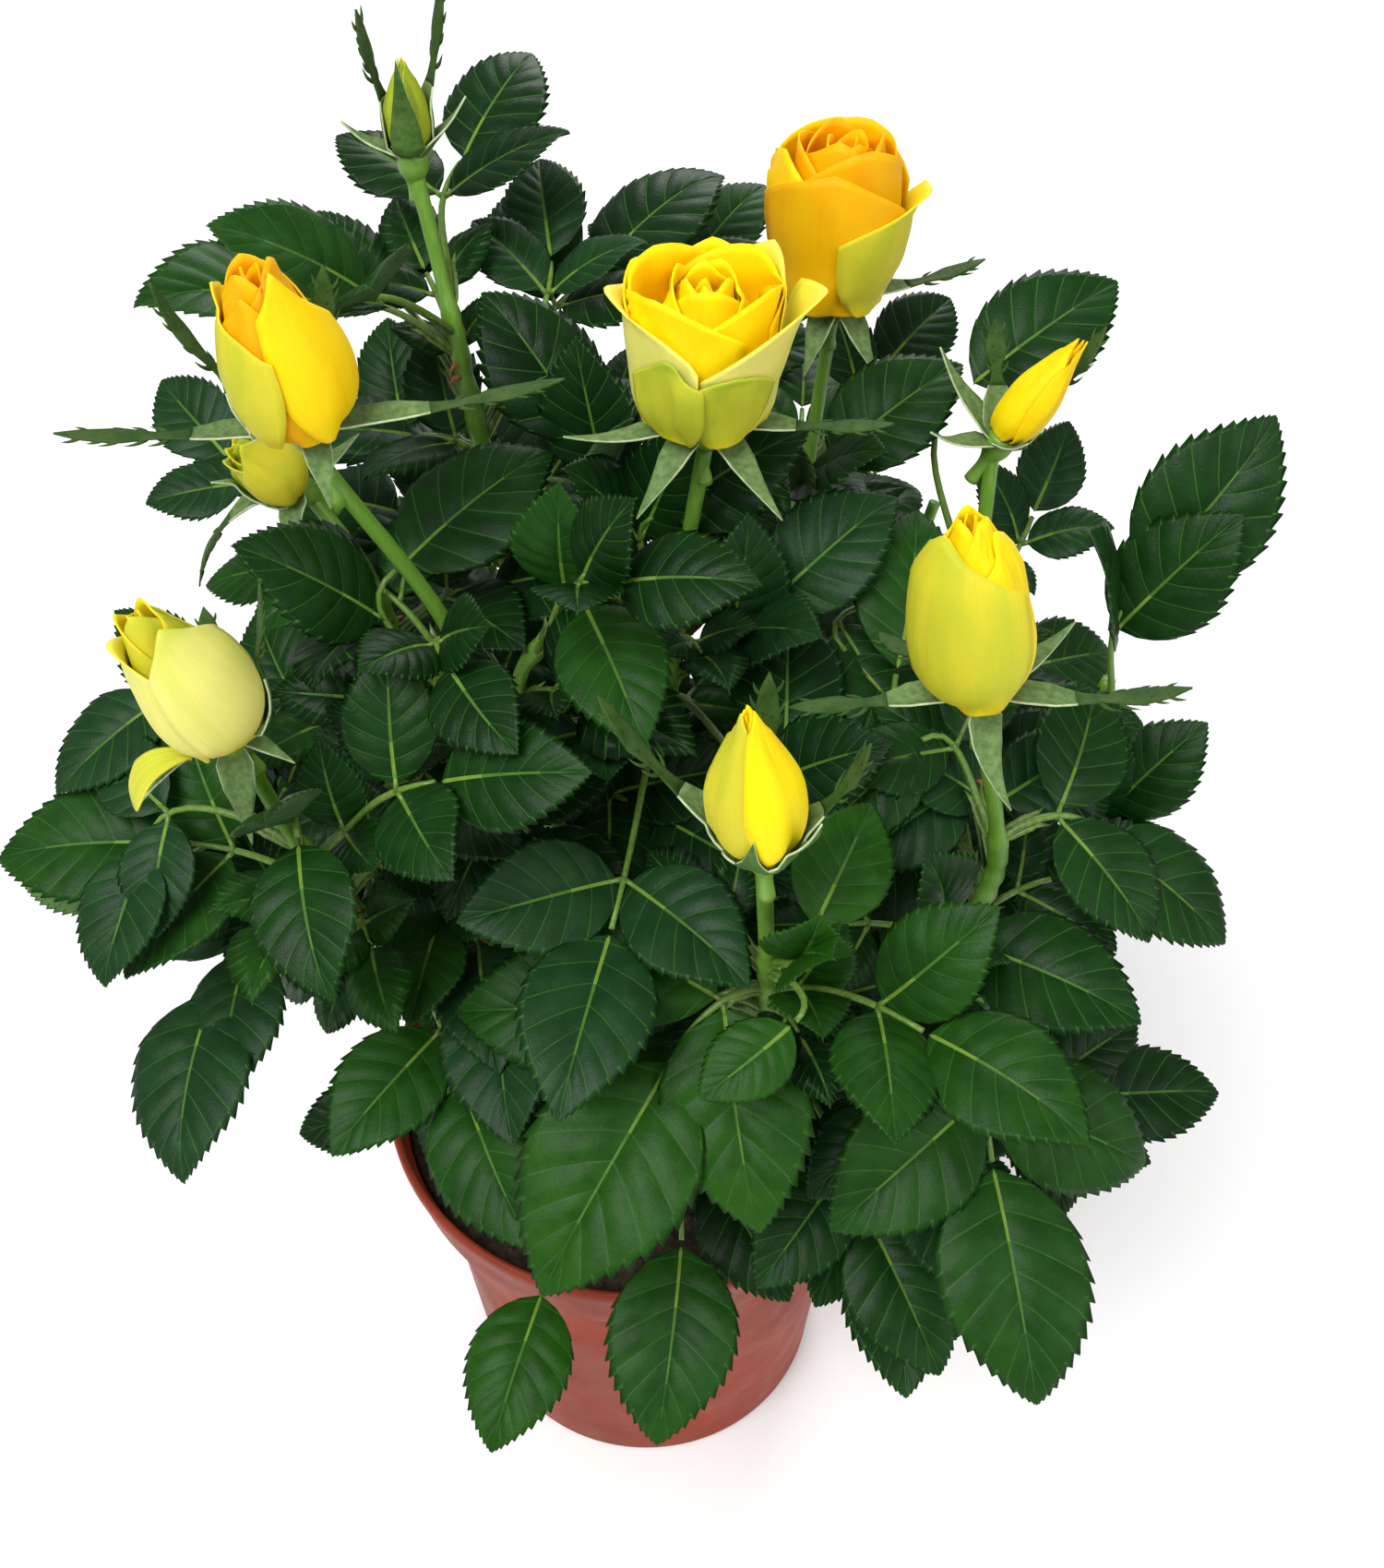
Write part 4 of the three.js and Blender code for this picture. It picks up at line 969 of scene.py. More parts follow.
def stem_radius(share):
    flare = (STEM_FLARE - STEM_RADIUS) * (1 - share) ** 8
    swelling, place, width = KNUCKLE
    knuckle = swelling * math.exp(-(((share - place) / width) ** 2))
    tip, slimmer = STEM_TIP
    return STEM_RADIUS + flare + knuckle - (slimmer if share > tip else 0)


def cane_radius(share):
    return lerp(*CANE_RADIUS, share)


def cane_path(shoot):
    azimuth, height = shoot["spring"]
    start = stem_paths[shoot["stem"]].point(height)
    points = [start, start + heading(azimuth, 0) * CANE_ELBOW + UP * CANE_ELBOW, *shoot["route"]]
    if "bloom" in shoot:
        points.append(shoot["bloom"]["foot"])
    return spline(points)


def bloom_axes(bloom):
    """A bloom's foot, its axis, and two directions across it. The second points to the back."""
    axis = unit(vec(*bloom["lean"], bloom["height"]))
    across = unit(np.cross(axis, vec(0, 1, 0)))
    return vec(*bloom["foot"]), axis, across, np.cross(axis, across)


def bloom_frame(bloom):
    """Points round a bloom's own axis, from rise, radius and azimuth, each a number or an array."""
    foot, axis, across, back = bloom_axes(bloom)

    def place(rise, radius, azimuth):
        rise, radius, turn = (np.asarray(v, float)[..., None] for v in (rise, radius, np.radians(azimuth)))
        return foot + axis * rise + across * radius * np.cos(turn) + back * radius * np.sin(turn)

    return place


def in_bloom_frame(bloom, points):
    """The rise, radius and azimuth of points in the frame above."""
    foot, axis, across, back = bloom_axes(bloom)
    arms = points - foot
    x, y = arms @ across, arms @ back
    return arms @ axis, np.hypot(x, y), np.degrees(np.arctan2(y, x))


def joint_for(path, span, origin):
    """The place along a shoot that is nearest to where a leaf comes from."""
    shares = np.arange(span[0], span[1] + 1e-12, JOINT_STEP)
    return shares[np.argmin(np.linalg.norm(path.point(shares) - origin, axis=1))]


def in_own_space(shoot, place):
    """Whether a place is clearly nearer to this shoot's foliage than to any other's."""
    def distance(other):
        shares = lerp(*other["foliage"], np.linspace(0, 1, 5))
        return np.linalg.norm(other["path"].point(shares) - place, axis=1).min()

    own = distance(shoot)
    return all(other is shoot or distance(other) > OWN_SPACE * own for other in SHOOTS)


def in_crown(hub, tip, radius, floor):
    """Whether a leaf ends inside the crown and keeps out of its openings."""
    places = np.array((hub, lerp(hub, tip, 0.5), tip))
    for x, y, z, reach in OPENINGS:
        if (np.linalg.norm(places - (x, y, z), axis=1) < reach).any():
            return False
    return math.hypot(tip[0], tip[1]) < radius and tip[2] > floor


def grow_limbs():
    """Every limb and bloom is in place before the first leaf."""
    for path in stem_paths.values():
        remember(*prism(path, (0, 1), stem_radius, 8, 7), "stem")
    for number, shoot in enumerate(SHOOTS, 1):
        shoot["number"] = number
        shoot["path"] = cane_path(shoot)
        enters, exits = shoot["foliage"]
        remember(*prism(shoot["path"], (0, enters), cane_radius, 5, 5), "cane")
        remember(*prism(shoot["path"], (enters, exits), cane_radius, 5, 5), ("stem", number))
        if "bloom" in shoot:
            remember_bloom(shoot)


def remember_bloom(shoot):
    """A bloom's clearance: its stalk, its petals' outline and its sepals."""
    bloom = shoot["bloom"]
    remember(*prism(shoot["path"], (shoot["foliage"][1], 1), cane_radius, 6, 3), "bloom")
    place = bloom_frame(bloom)
    rises = np.array(BLOOM_OUTLINE[0]) * bloom["height"]
    reaches = np.array(BLOOM_OUTLINE[1]) * bloom["radius"]
    turns = np.arange(0, 360, 45)
    rings = place(rises[:, None], reaches[:, None], turns[None, :]).reshape(-1, 3)
    remember(rings, triangles(grid_faces(len(rises), len(turns), closed=True)), "bloom")
    for row in bloom["sepals"]:
        path = sepal_path(place, bloom, row)
        remember(*prism(path, (0, 1), lambda share: SEPAL_HALF * (1 - 0.9 * share), 3, 4), "bloom")


def hip_radius(bloom):
    return max(HIP_SHARE * bloom["radius"], LEAST_HIP)


def sepal_path(place, bloom, row):
    """Where a sepal's middle line runs: it curves from its first rise to its last."""
    azimuth, first, last, length = row
    here = place(-SEPAL_FOOT, 0, 0) + heading(azimuth, 0) * 0.6 * hip_radius(bloom)
    points = [here]
    for i in range(SEPAL_STEPS):
        rise = lerp(first, last, (i + 0.5) / SEPAL_STEPS)
        here = here + heading(azimuth, rise) * length / SEPAL_STEPS
        points.append(here)
    return spline(points)


def grow_leaves():
    """The listed leaves come first, then the rule fills every shoot, then the finer leaves."""
    for shoot in SHOOTS:
        margin = JOINT_MARGIN / shoot["path"].length
        shoot["joints"] = (shoot["foliage"][0] + margin, shoot["foliage"][1] - margin)
        for x, y, z, azimuth, rise, length, count, *tone in shoot["leaves"]:
            for shift in SHIFTS:
                hub = vec(x, y, z) + shift
                origin = hub - heading(azimuth, rise) * HUB_BACK * length - UP * HUB_DROP
                joint = joint_for(shoot["path"], shoot["joints"], origin)
                if grow_leaf(shoot, joint, hub, azimuth, rise, length, count, *tone):
                    break
    fill(SEED, JOINT_SPACING, FILL_LENGTH, FILL_STALK, CROWN_RADIUS, CROWN_FLOOR)
    fill(FINE_SEED, FINE_SPACING, FINE_LENGTH, FINE_STALK, FINE_RADIUS, FINE_FLOOR, fine=True)


def fill(seed, spacing, lengths, stalks, radius, floor, fine=False):
    """Leaves at even steps up every shoot, each turned on from the one under it."""
    random = seeded(seed)
    for shoot in SHOOTS:
        low, high = shoot["joints"]
        azimuth = 360 * random()
        joint = low
        while joint <= high + 1e-9:
            height = (joint - low) / (high - low)
            rise = lerp(*FILL_RISE, height) + RISE_SPREAD * (random() - 0.5)
            length = lerp(*lengths, random())
            stalk = lerp(*stalks, random())
            count = 5 if random() < FIVE_LEAFLETS else 3
            azimuth += JOINT_TURN
            for swing in FILL_SWINGS:
                way, droop = azimuth + swing, rise - STALK_LIFT
                hub = shoot["path"].point(joint) + heading(way, rise + STALK_LIFT) * stalk
                fits = in_crown(hub, hub + heading(way, droop) * length, radius, floor)
                if fits and in_own_space(shoot, hub):
                    if grow_leaf(shoot, joint, hub, way, droop, length, count, fine=fine):
                        break
            joint += spacing / shoot["path"].length


# ---- leaves in full -----------------------------------------------------------------------------------
# Sizes of a leaflet, as shares of its length where no millimetres are named.
VEIN_HALF = 0.0035  # half a vein's width along the midrib
BLADE_WIDTH = 0.318  # from the midrib to the widest margin
TOOTH_REACH = 0.022  # how far a tooth stands out
TOOTH_LEAN = 0.026  # how far it leans towards the tip
QUILT = 0.013  # how far the blade swells between its veins
VEIN_SWEEP = 1.9  # how strongly the side veins sweep forward to the margin
VEIN_CURVE = 1.2
RIB_HALF = (0.34, 0.1)  # millimetres: half the midrib's width at the foot and at the tip
RIB_GROOVE = 0.12  # millimetres
KEEL_DEPTH = 0.62  # millimetres from the midrib's upper side to the underside
RIB_LIGHT, RIB_FADED = 0.3, 0.68  # the midrib is pale up to here, and half pale up to there
# How a leaflet differs from its neighbours, each between two bounds.
ARCH_SPREAD, FOLD_SPREAD = (0.7, 1.3), (0.5, 1.5)
WAVE_HEIGHT, WAVE_COUNT = (0.004, 0.016), (1.2, 2.4)
MARGIN_DROOP, TIP_BEND = (0.02, 0.1), (-0.09, 0.01)
SIDE_BEND, TWIST_DEGREES = (-0.07, 0.07), (-16, 16)
BLADE, VEIN, MIDRIB, FADED, UNDERSIDE = range(5)  # the slots of a leaflet's materials
# A leaflet's margin: places along it, and how wide it is there.
OUTLINE = (
    (0, 0.05, 0.12, 0.25, 0.4, 0.52, 0.65, 0.78, 0.88, 0.95, 1),
    (0, 0.36, 0.62, 0.89, 1, 0.98, 0.85, 0.61, 0.37, 0.17, 0),
)


class Leaf:
    """What every leaflet of a kind shares: its rows, which run along its side veins, its columns from margin
    to margin, and its faces with their materials."""

    def __init__(self, veins, half_columns):
        rows = []
        for i in range(veins):
            for half in (0, 0.5):
                for within, tooth in ((0, 0), (0.22, 0.5), (0.4, 1)):
                    place = (i + half + within) / veins
                    if half == 0 and tooth == 1:
                        rows += [(place - VEIN_HALF, 0.95, True), (place + VEIN_HALF, 1, False)]
                    else:
                        rows.append((place, tooth, False))
        rows.append((1, 0, False))
        self.rows, self.tooth, vein = (np.array(column) for column in zip(*rows))
        self.swell = np.sin(math.pi * ((self.rows * veins - 0.4) % 1)) ** 0.8
        self.swell[vein] = 0
        self.columns = np.array([-c for c in half_columns[:0:-1]] + list(half_columns))
        self.faces = self.join(vein)

    def join(self, vein):
        rows, across = len(self.rows), len(self.columns)
        faces = grid_faces(rows, across)
        row_of = np.repeat(np.arange(rows - 1), across - 1)
        column_of = np.tile(np.arange(across - 1), rows - 1)
        outer = (column_of == 0) | (column_of == across - 2)
        middle = (column_of == across // 2 - 1) | (column_of == across // 2)
        kinds = np.full(len(faces), BLADE)
        kinds[vein[row_of] & ~outer] = VEIN
        kinds[outer & (self.tooth[row_of] == 1)] = VEIN
        kinds[middle] = VEIN
        kinds[middle & (self.rows[row_of] < RIB_FADED)] = FADED
        kinds[middle & (self.rows[row_of] < RIB_LIGHT)] = MIDRIB
        # The underside shares the margins and has one line of points between them.
        left = np.arange(rows) * across
        lattice = np.column_stack((left, rows * across + np.arange(rows), left + across - 1))
        below = np.stack([lattice[:-1, :-1], lattice[1:, :-1], lattice[1:, 1:], lattice[:-1, 1:]], -1)
        return [(faces[:, ::-1], kinds), (below.reshape(-1, 4)[:, ::-1], UNDERSIDE)]


LARGE_LEAF = Leaf(8, (0, 0.02, 0.3, 0.62, 0.93, 1))
SMALL_LEAF = Leaf(6, (0, 0.03, 0.55, 1))


def leaf_points(kind, blade, rng):
    """A leaflet's points: toothed, arched, folded, quilted between its veins, bent a little its own way."""
    rows, columns, length = kind.rows[:, None], kind.columns[None, :], blade["length"]
    out = np.abs(columns)
    start = LEAFLET_START / length
    swept = 1 - (1 - rows) ** VEIN_SWEEP
    taper = eased(*OUTLINE, swept)
    full = BLADE_WIDTH * length
    half = full * taper
    width = half * columns
    middle = kind.columns.size // 2
    rib = np.minimum(lerp(*RIB_HALF, rows), 0.25 * half + 0.02)[:, 0]
    width[:, middle - 1], width[:, middle + 1] = -rib, rib
    along = rows + (swept - rows) * out**VEIN_CURVE
    fullness = np.sqrt(np.maximum(taper, 0))
    edge = kind.tooth[:, None] * fullness * (out == 1)
    width += np.sign(columns) * TOOTH_REACH * length * edge
    along += TOOTH_LEAN * edge
    share = np.abs(width) / full
    arch = LEAFLET_ARCH * rng.uniform(*ARCH_SPREAD)
    fold = LEAFLET_FOLD * rng.uniform(*FOLD_SPREAD)
    wave, ripples, phase = rng.uniform(*WAVE_HEIGHT), rng.uniform(*WAVE_COUNT), rng.uniform(0, 6.3)
    swell = np.interp(out, (0, 0.3, 0.62, 0.93, 1), (0, 0.8, 1, 0.35, 0))
    lift = (
        arch * length * 4 * along * (1 - along)
        + fold * np.abs(width)
        - rng.uniform(*MARGIN_DROOP) * length * share**2.2
        + QUILT * length * (kind.swell[:, None] * fullness) * swell
        + wave * length * np.sin(ripples * 2 * math.pi * along + phase + (width > 0) * 1.7) * share**2
    )
    lift[:, middle] -= RIB_GROOVE
    bend, twist = rng.uniform(*SIDE_BEND), math.radians(rng.uniform(*TWIST_DEGREES))
    lift += rng.uniform(*TIP_BEND) * length * np.clip(along - 0.72, 0, 1) ** 2 * 6
    keel = np.stack([along[:, middle], width[:, middle], lift[:, middle] - KEEL_DEPTH], -1)
    forward, aside, above = np.concatenate((np.stack([along, width, lift], -1).reshape(-1, 3), keel)).T
    forward = start + (1 - start) * forward
    aside = aside + bend * length * forward**2
    angle = twist * forward
    cosine, sine = np.cos(angle), np.sin(angle)
    aside, above = aside * cosine - above * sine, aside * sine + above * cosine
    direction = blade["direction"]
    normal = unit(blade["up"] - direction * (blade["up"] @ direction))
    side = np.cross(direction, normal)
    lying = blade["base"] + np.outer(forward * length, direction)
    return lying + np.outer(aside, side) + np.outer(above, normal)


LARGEST_PIECE = 80000  # points: the next leaf after that starts a new piece


def make_foliage():
    """All the leaflets, joined by tone, and all their stalks."""
    rng = np.random.default_rng(5)
    shapes = {}
    stalks = Shape()
    for leaf in leaves:
        tone = leaf["tone"] or ORDINARY[rng.integers(len(ORDINARY))]
        parts = shapes.setdefault(tone, [Shape()])
        if parts[-1].count > LARGEST_PIECE:
            parts.append(Shape())
        kind = SMALL_LEAF if leaf["fine"] else LARGE_LEAF
        for blade in leaf["blades"]:
            parts[-1].add(leaf_points(kind, blade, rng), kind.faces)
        add_stalk(stalks, leaf)
    shared = [
        plain_material("leaf_vein", (36, 74, 24), (45, 85, 29), 0.5),
        plain_material("leaf_midrib", (92, 122, 42), (108, 138, 50), 0.5),
        plain_material("leaf_rib", (60, 96, 34), (72, 108, 40), 0.5),
        plain_material("leaf_underside", (54, 82, 46), (66, 94, 54), 0.7),
    ]
    masses = [f"foliage_{shoot['number']}" for shoot in SHOOTS]
    for tone, parts in shapes.items():
        upper = blade_material("leaf_" + tone, *TONES[tone])
        for index, shape in enumerate(parts, 1):
            shape.piece(f"leaves_{tone}_{index}", "foliage", [upper, *shared], masses)
    stalks.piece("leaf_stalks", "cane", [cane_material("leaf_stalk", (66, 96, 30), (84, 118, 38))])


STALK_HALF = (0.95, 0.5)  # a leaf's stalk at its foot and at its hub
SHORT_STALK_HALF, SHORT_STALK_LENGTH = (0.6, 0.42), 2.6  # a side leaflet's own stalk
STIPULE_LENGTH, STIPULE_TIP = 9, (1.6, 0.7)
STIPULE_WIDTH = ((0, 0.2, 0.8, 1), (0.5, 1.3, 1.5, 0.9))  # shares of the length, millimetres
STIPULE_THICKNESS = 0.2


def add_stalk(shape, leaf):
    """A leaf's stalk, thicker at its foot, with its leaflets' short stalks and a pair of stipules."""
    stalk = leaf["stalk"]
    add_tube(shape, stalk, (0, 1), lambda share: lerp(*STALK_HALF, share**0.5), sides=7)
    for blade in leaf["blades"]:
        if blade["hand"]:
            start, direction = blade["base"], blade["direction"]
            short = spline([start, start + direction * 1.2, start + direction * SHORT_STALK_LENGTH])
            add_tube(shape, short, (0, 1), lambda share: lerp(*SHORT_STALK_HALF, share), sides=5, steps=2)
    rows, columns = 9, 3
    shares = np.linspace(0.02, min(STIPULE_LENGTH / stalk.length, 0.4), rows)
    middle, tangent = stalk.point(shares), stalk.tangent(shares)
    side = np.cross(tangent, leaf["up"])
    side /= np.linalg.norm(side, axis=1, keepdims=True)
    wide = np.interp(np.linspace(0, 1, rows), *STIPULE_WIDTH)
    reach = (wide[:, None] * np.linspace(0.3, 1, columns))[..., None]
    for hand in (1, -1):
        outward = side * hand
        grid = middle[:, None] + outward[:, None] * reach
        grid[-1, -1] += tangent[-1] * STIPULE_TIP[0] + outward[-1] * STIPULE_TIP[1]
        add_sheet(shape, grid if hand > 0 else grid[:, ::-1], STIPULE_THICKNESS, slots=(0, 0))


# ---- stems and canes ----------------------------------------------------------------------------------
BARK_DEPTH = 0.35  # how far the bark's mean surface lies inside the solid's
BARK_RIDGES = ((0.16, 5, 2.5), (0.12, 11, -6), (0.1, 19, 9))  # height in mm, ridges round the stem, twist


def make_stems():
    bark = bark_material()
    for name, path in stem_paths.items():
        shape = Shape()
        rng = np.random.default_rng(len(name))
        sides, steps = 40, 44
        shares = np.linspace(0, 1, steps + 1)
        centres, tangents = path.point(shares), path.tangent(shares)
        tangents[0] = UP
        turn = full_turn(sides)
        ridges = sum(
            height * np.sin(count * turn[None, :] + twist * shares[:, None] + phase)
            for (height, count, twist), phase in zip(BARK_RIDGES, rng.uniform(0, 6.3, 3))
        )
        radii = np.array([stem_radius(min(share, STEM_TIP[0])) for share in shares])
        radii *= np.sqrt(np.clip(1 - np.clip((shares - 0.93) / 0.07, 0, 1) ** 2, 0.02, 1))
        radii = np.maximum(radii[:, None] - BARK_DEPTH + ridges, 0.2)
        rings = rings_round(centres, tangents, radii, sides)
        add_body(shape, rings, [centres[0], centres[-1]])
        shape.piece(f"bark_{name}", "bark", [bark], [f"main_stem_{name}"])


STALK_RADIUS = 1.28  # of a cane just under its bloom
CANE_SLIMMER = 0.12  # than the solid one
CANE_START = 2.2  # from its root on its stem's middle line
NODE_HEIGHT, NODE_HALF = 0.5, 1.8  # how far a joint swells, and half its length


def make_canes():
    """Each cane runs from its stem through its foliage to its bloom, with a swelling at every joint."""
    bark = cane_material("green_cane", (74, 92, 34), (86, 134, 30))
    for shoot in SHOOTS:
        shape = Shape()
        path = shoot["path"]
        joints = np.array([leaf["joint"] for leaf in leaves if leaf["shoot"] is shoot])

        def radius(share):
            node = np.exp(-(((joints - share) * path.length / NODE_HALF) ** 2)).max(initial=0)
            plain = lerp(cane_radius(share) - CANE_SLIMMER, STALK_RADIUS, smooth(share, 0.45, 0.9))
            return plain + NODE_HEIGHT * node

        start = CANE_START / path.length
        end = 1.0 if "bloom" in shoot else 0.995
        add_tube(shape, path, (start, end), radius, sides=14, steps=int(path.length / 1.6))
        shape.piece(f"shoot_{shoot['number']}", "cane", [bark], [f"cane_{shoot['number']}"])


PRICKLE_SPACING = 16
PRICKLE_REACH, PRICKLE_HALF = (1.6, 2.8), 0.62


def make_prickles():
    """Small hooked prickles, scattered down every cane."""
    rng = np.random.default_rng(11)
    shape = Shape()
    for shoot in SHOOTS:
        path = shoot["path"]
        for _ in range(int(path.length / PRICKLE_SPACING)):
            share = rng.uniform(0.06, 0.9)
            tangent = path.tangent(share)
            side = turned(unit(np.cross(tangent, X)), tangent, rng.uniform(0, 360))
            foot = path.point(share) + side * (cane_radius(share) - 0.5)
            reach = rng.uniform(*PRICKLE_REACH)
            middle = foot + side * 0.6 * reach - tangent * 0.1
            hook = spline([foot, middle, foot + side * reach - tangent * 0.5 * reach])
            add_tube(shape, hook, (0, 1), lambda at: PRICKLE_HALF * (1 - at) ** 1.3 + 0.03, sides=6, steps=5)
    shape.piece("prickles", "cane", [plain_material("prickle", (126, 66, 44), (168, 104, 62), 0.4)])


# ---- blooms -------------------------------------------------------------------------------------------
# How a petal rises: the slope of its middle line from the axis, in degrees, at even steps from foot to rim.
# Positive leans out.
RISES = {
    "core": (60, 10, -5, -9, -9, -6),
    "hug": (86, 25, -4, -15, -20, -20),
    "egg": (86, 29, 4, -8, -14, -12),
    "urn": (86, 30, 7, -3, -8, -3),
    "cone": (84, 22, -4, -12, -12, -4),
    "lip": (84, 25, -2, -12, -10, 46),
    "cup": (84, 30, 9, 3, 3, 14),
    "flare": (84, 31, 12, 6, 12, 52),
    "low": (84, 31, 8, 4, 10, 30),
    "wing": (84, 32, 18, 14, 24, 48),
    "vase": (84, 36, 18, 8, -8, -22),
    "sag": (70, 60, 74, 100, 128, 150),
}
# The heart of a bloom, from the inside: number of petals, half the angle that each goes round, height and
# foot as shares of the bloom's height and radius, rise, turn.
HEARTS = {
    "bud": ((2, 120, 0.95, 0.08, "core", 30), (2, 105, 0.97, 0.16, "hug", 110)),
    "opening": ((2, 130, 0.97, 0.06, "core", 20), (3, 105, 0.99, 0.14, "cone", 95)),
    "egg": (
        (2, 130, 0.95, 0.06, "core", 20), (3, 105, 0.97, 0.12, "cone", 80), (3, 95, 0.99, 0.18, "egg", 30),
        (3, 85, 0.98, 0.24, "urn", 80),
    ),
    "open": (
        (2, 130, 0.88, 0.05, "core", 0), (3, 105, 0.94, 0.12, "cone", 75), (3, 92, 0.95, 0.18, "cone", 15),
        (4, 74, 0.95, 0.24, "cup", 60),
    ),
}
# The petals outside the heart, from the innermost: azimuth (-90 faces the front), half the angle, height,
# foot, rise, how pointed the tip is, how far it lies to a side, how far the rim rolls out in millimetres, how
# far one edge lies outside the other, and the colour.
OUTER_PETALS = {
    1: (
        (100, 88, 0.93, 0.28, "cone", 0.2, 0, 0.4, 0.6, "gold"),
        (-95, 60, 0.88, 0.3, "cone", 0.4, -0.2, 0.2, 0.4, "amber"),
        (-24, 64, 0.97, 0.32, "cone", 1.7, -0.4, 0.3, 0.5, "gold"),
        (-150, 68, 0.92, 0.33, "cone", 1.2, -0.65, 1.0, -0.4, "lemon"),
    ),
    2: (
        (85, 52, 0.95, 0.28, "cup", 0.2, 0, 0.8, 0.6, "yellow"),
        (150, 50, 0.95, 0.28, "cup", 0.3, 0.1, 0.8, 0.6, "yellow"),
        (35, 46, 1.0, 0.28, "cup", 0.25, 0, 0.6, 0.6, "cream"),
        (-34, 60, 0.93, 0.29, "wing", 1.5, 0.4, 0.1, 0.6, "cream"),
        (-156, 60, 0.88, 0.29, "flare", 0.7, -0.3, 0.6, -0.6, "cream"),
        (-70, 34, 0.56, 0.3, "low", 0.1, 0, 0.9, 0.4, "lime"),
        (-122, 31, 0.6, 0.3, "low", 0.15, 0.1, 1.0, -0.4, "lime"),
    ),
    3: (
        (95, 80, 0.94, 0.26, "vase", 0.1, 0, 0.6, 0.6, "gold"),
        (-170, 76, 0.9, 0.27, "vase", 0.1, 0, 0.8, -0.6, "gold"),
        (-105, 72, 0.9, 0.28, "vase", 0.2, 0, 0.5, 0.5, "amber"),
        (-36, 60, 0.7, 0.29, "wing", 0.3, 0.5, 0.4, 0.5, "lemon"),
    ),
    4: (
        (105, 88, 0.9, 0.3, "hug", 0.2, 0, 0.3, 0.5, "yellow"),
        (-5, 84, 0.88, 0.31, "hug", 0.2, -0.2, 0.2, 0.5, "yellow"),
        (-116, 72, 0.93, 0.32, "egg", 0.15, -0.7, 0.9, 0.3, "lemon"),
    ),
    5: (
        (95, 92, 0.97, 0.32, "hug", 0.5, 0, 0, 0.5, "yellow"),
        (-140, 84, 0.97, 0.33, "hug", 0.5, 0.1, 0, 0.4, "lemon"),
        (-28, 76, 0.99, 0.34, "hug", 0.6, -0.3, 0.2, 0.4, "yellow"),
    ),
    6: (
        (100, 86, 0.86, 0.3, "cone", 0.3, 0, 0.6, 0.6, "lime"),
        (-150, 70, 0.85, 0.31, "lip", 0.3, -0.2, 0.5, 0.5, "cream"),
        (-38, 60, 0.88, 0.32, "egg", 0.1, 0, 0.5, 0.6, "cream"),
        (-150, 15, 0.28, 0.5, "sag", 0.6, 0.3, 0, 0.5, "lime"),
    ),
    7: (
        (95, 92, 0.96, 0.32, "hug", 0.5, 0, 0, 0.4, "gold"),
        (-160, 92, 0.97, 0.33, "hug", 0.5, 0, 0, 0.4, "yellow"),
        (-35, 80, 0.98, 0.34, "hug", 0.6, 0, 0.2, 0.4, "gold"),
    ),
    8: (
        (95, 92, 0.96, 0.32, "hug", 0.5, 0, 0, 0.4, "green"),
        (-160, 92, 0.97, 0.33, "hug", 0.5, 0, 0, 0.4, "green"),
        (-35, 80, 0.98, 0.34, "hug", 0.6, 0, 0.1, 0.4, "green"),
    ),
    9: (
        (95, 92, 0.94, 0.32, "cone", 0.5, 0, 0.2, 0.4, "lemon"),
        (-160, 92, 0.95, 0.33, "cone", 0.3, 0, 0.4, 0.4, "lime"),
        (-35, 80, 0.96, 0.34, "cone", 0.3, 0, 0.3, 0.4, "lemon"),
    ),
}
# By bloom: how far above the solid bloom's foot the petals and sepals are seated, the radius of the petals'
# body, how much it narrows to the top, and the share of the height at which that starts.
SEATS = {
    1: (8, 9.7, 0.15, 0.4), 2: (5.5, 13.2, 0, 0.4), 3: (4, 13.2, 0, 0.4), 4: (5.5, 10.2, 0.5, 0.68),
    5: (4, 7.2, 0.5, 0.4), 6: (3, 9.5, 0.3, 0.5), 7: (3.5, 4.6, 0.4, 0.4), 8: (1.5, 4, 0.5, 0.4),
    9: (3, 6, 0.2, 0.4),
}
PETAL_GAP = 0.34  # a petal lies at least this far outside those that it covers


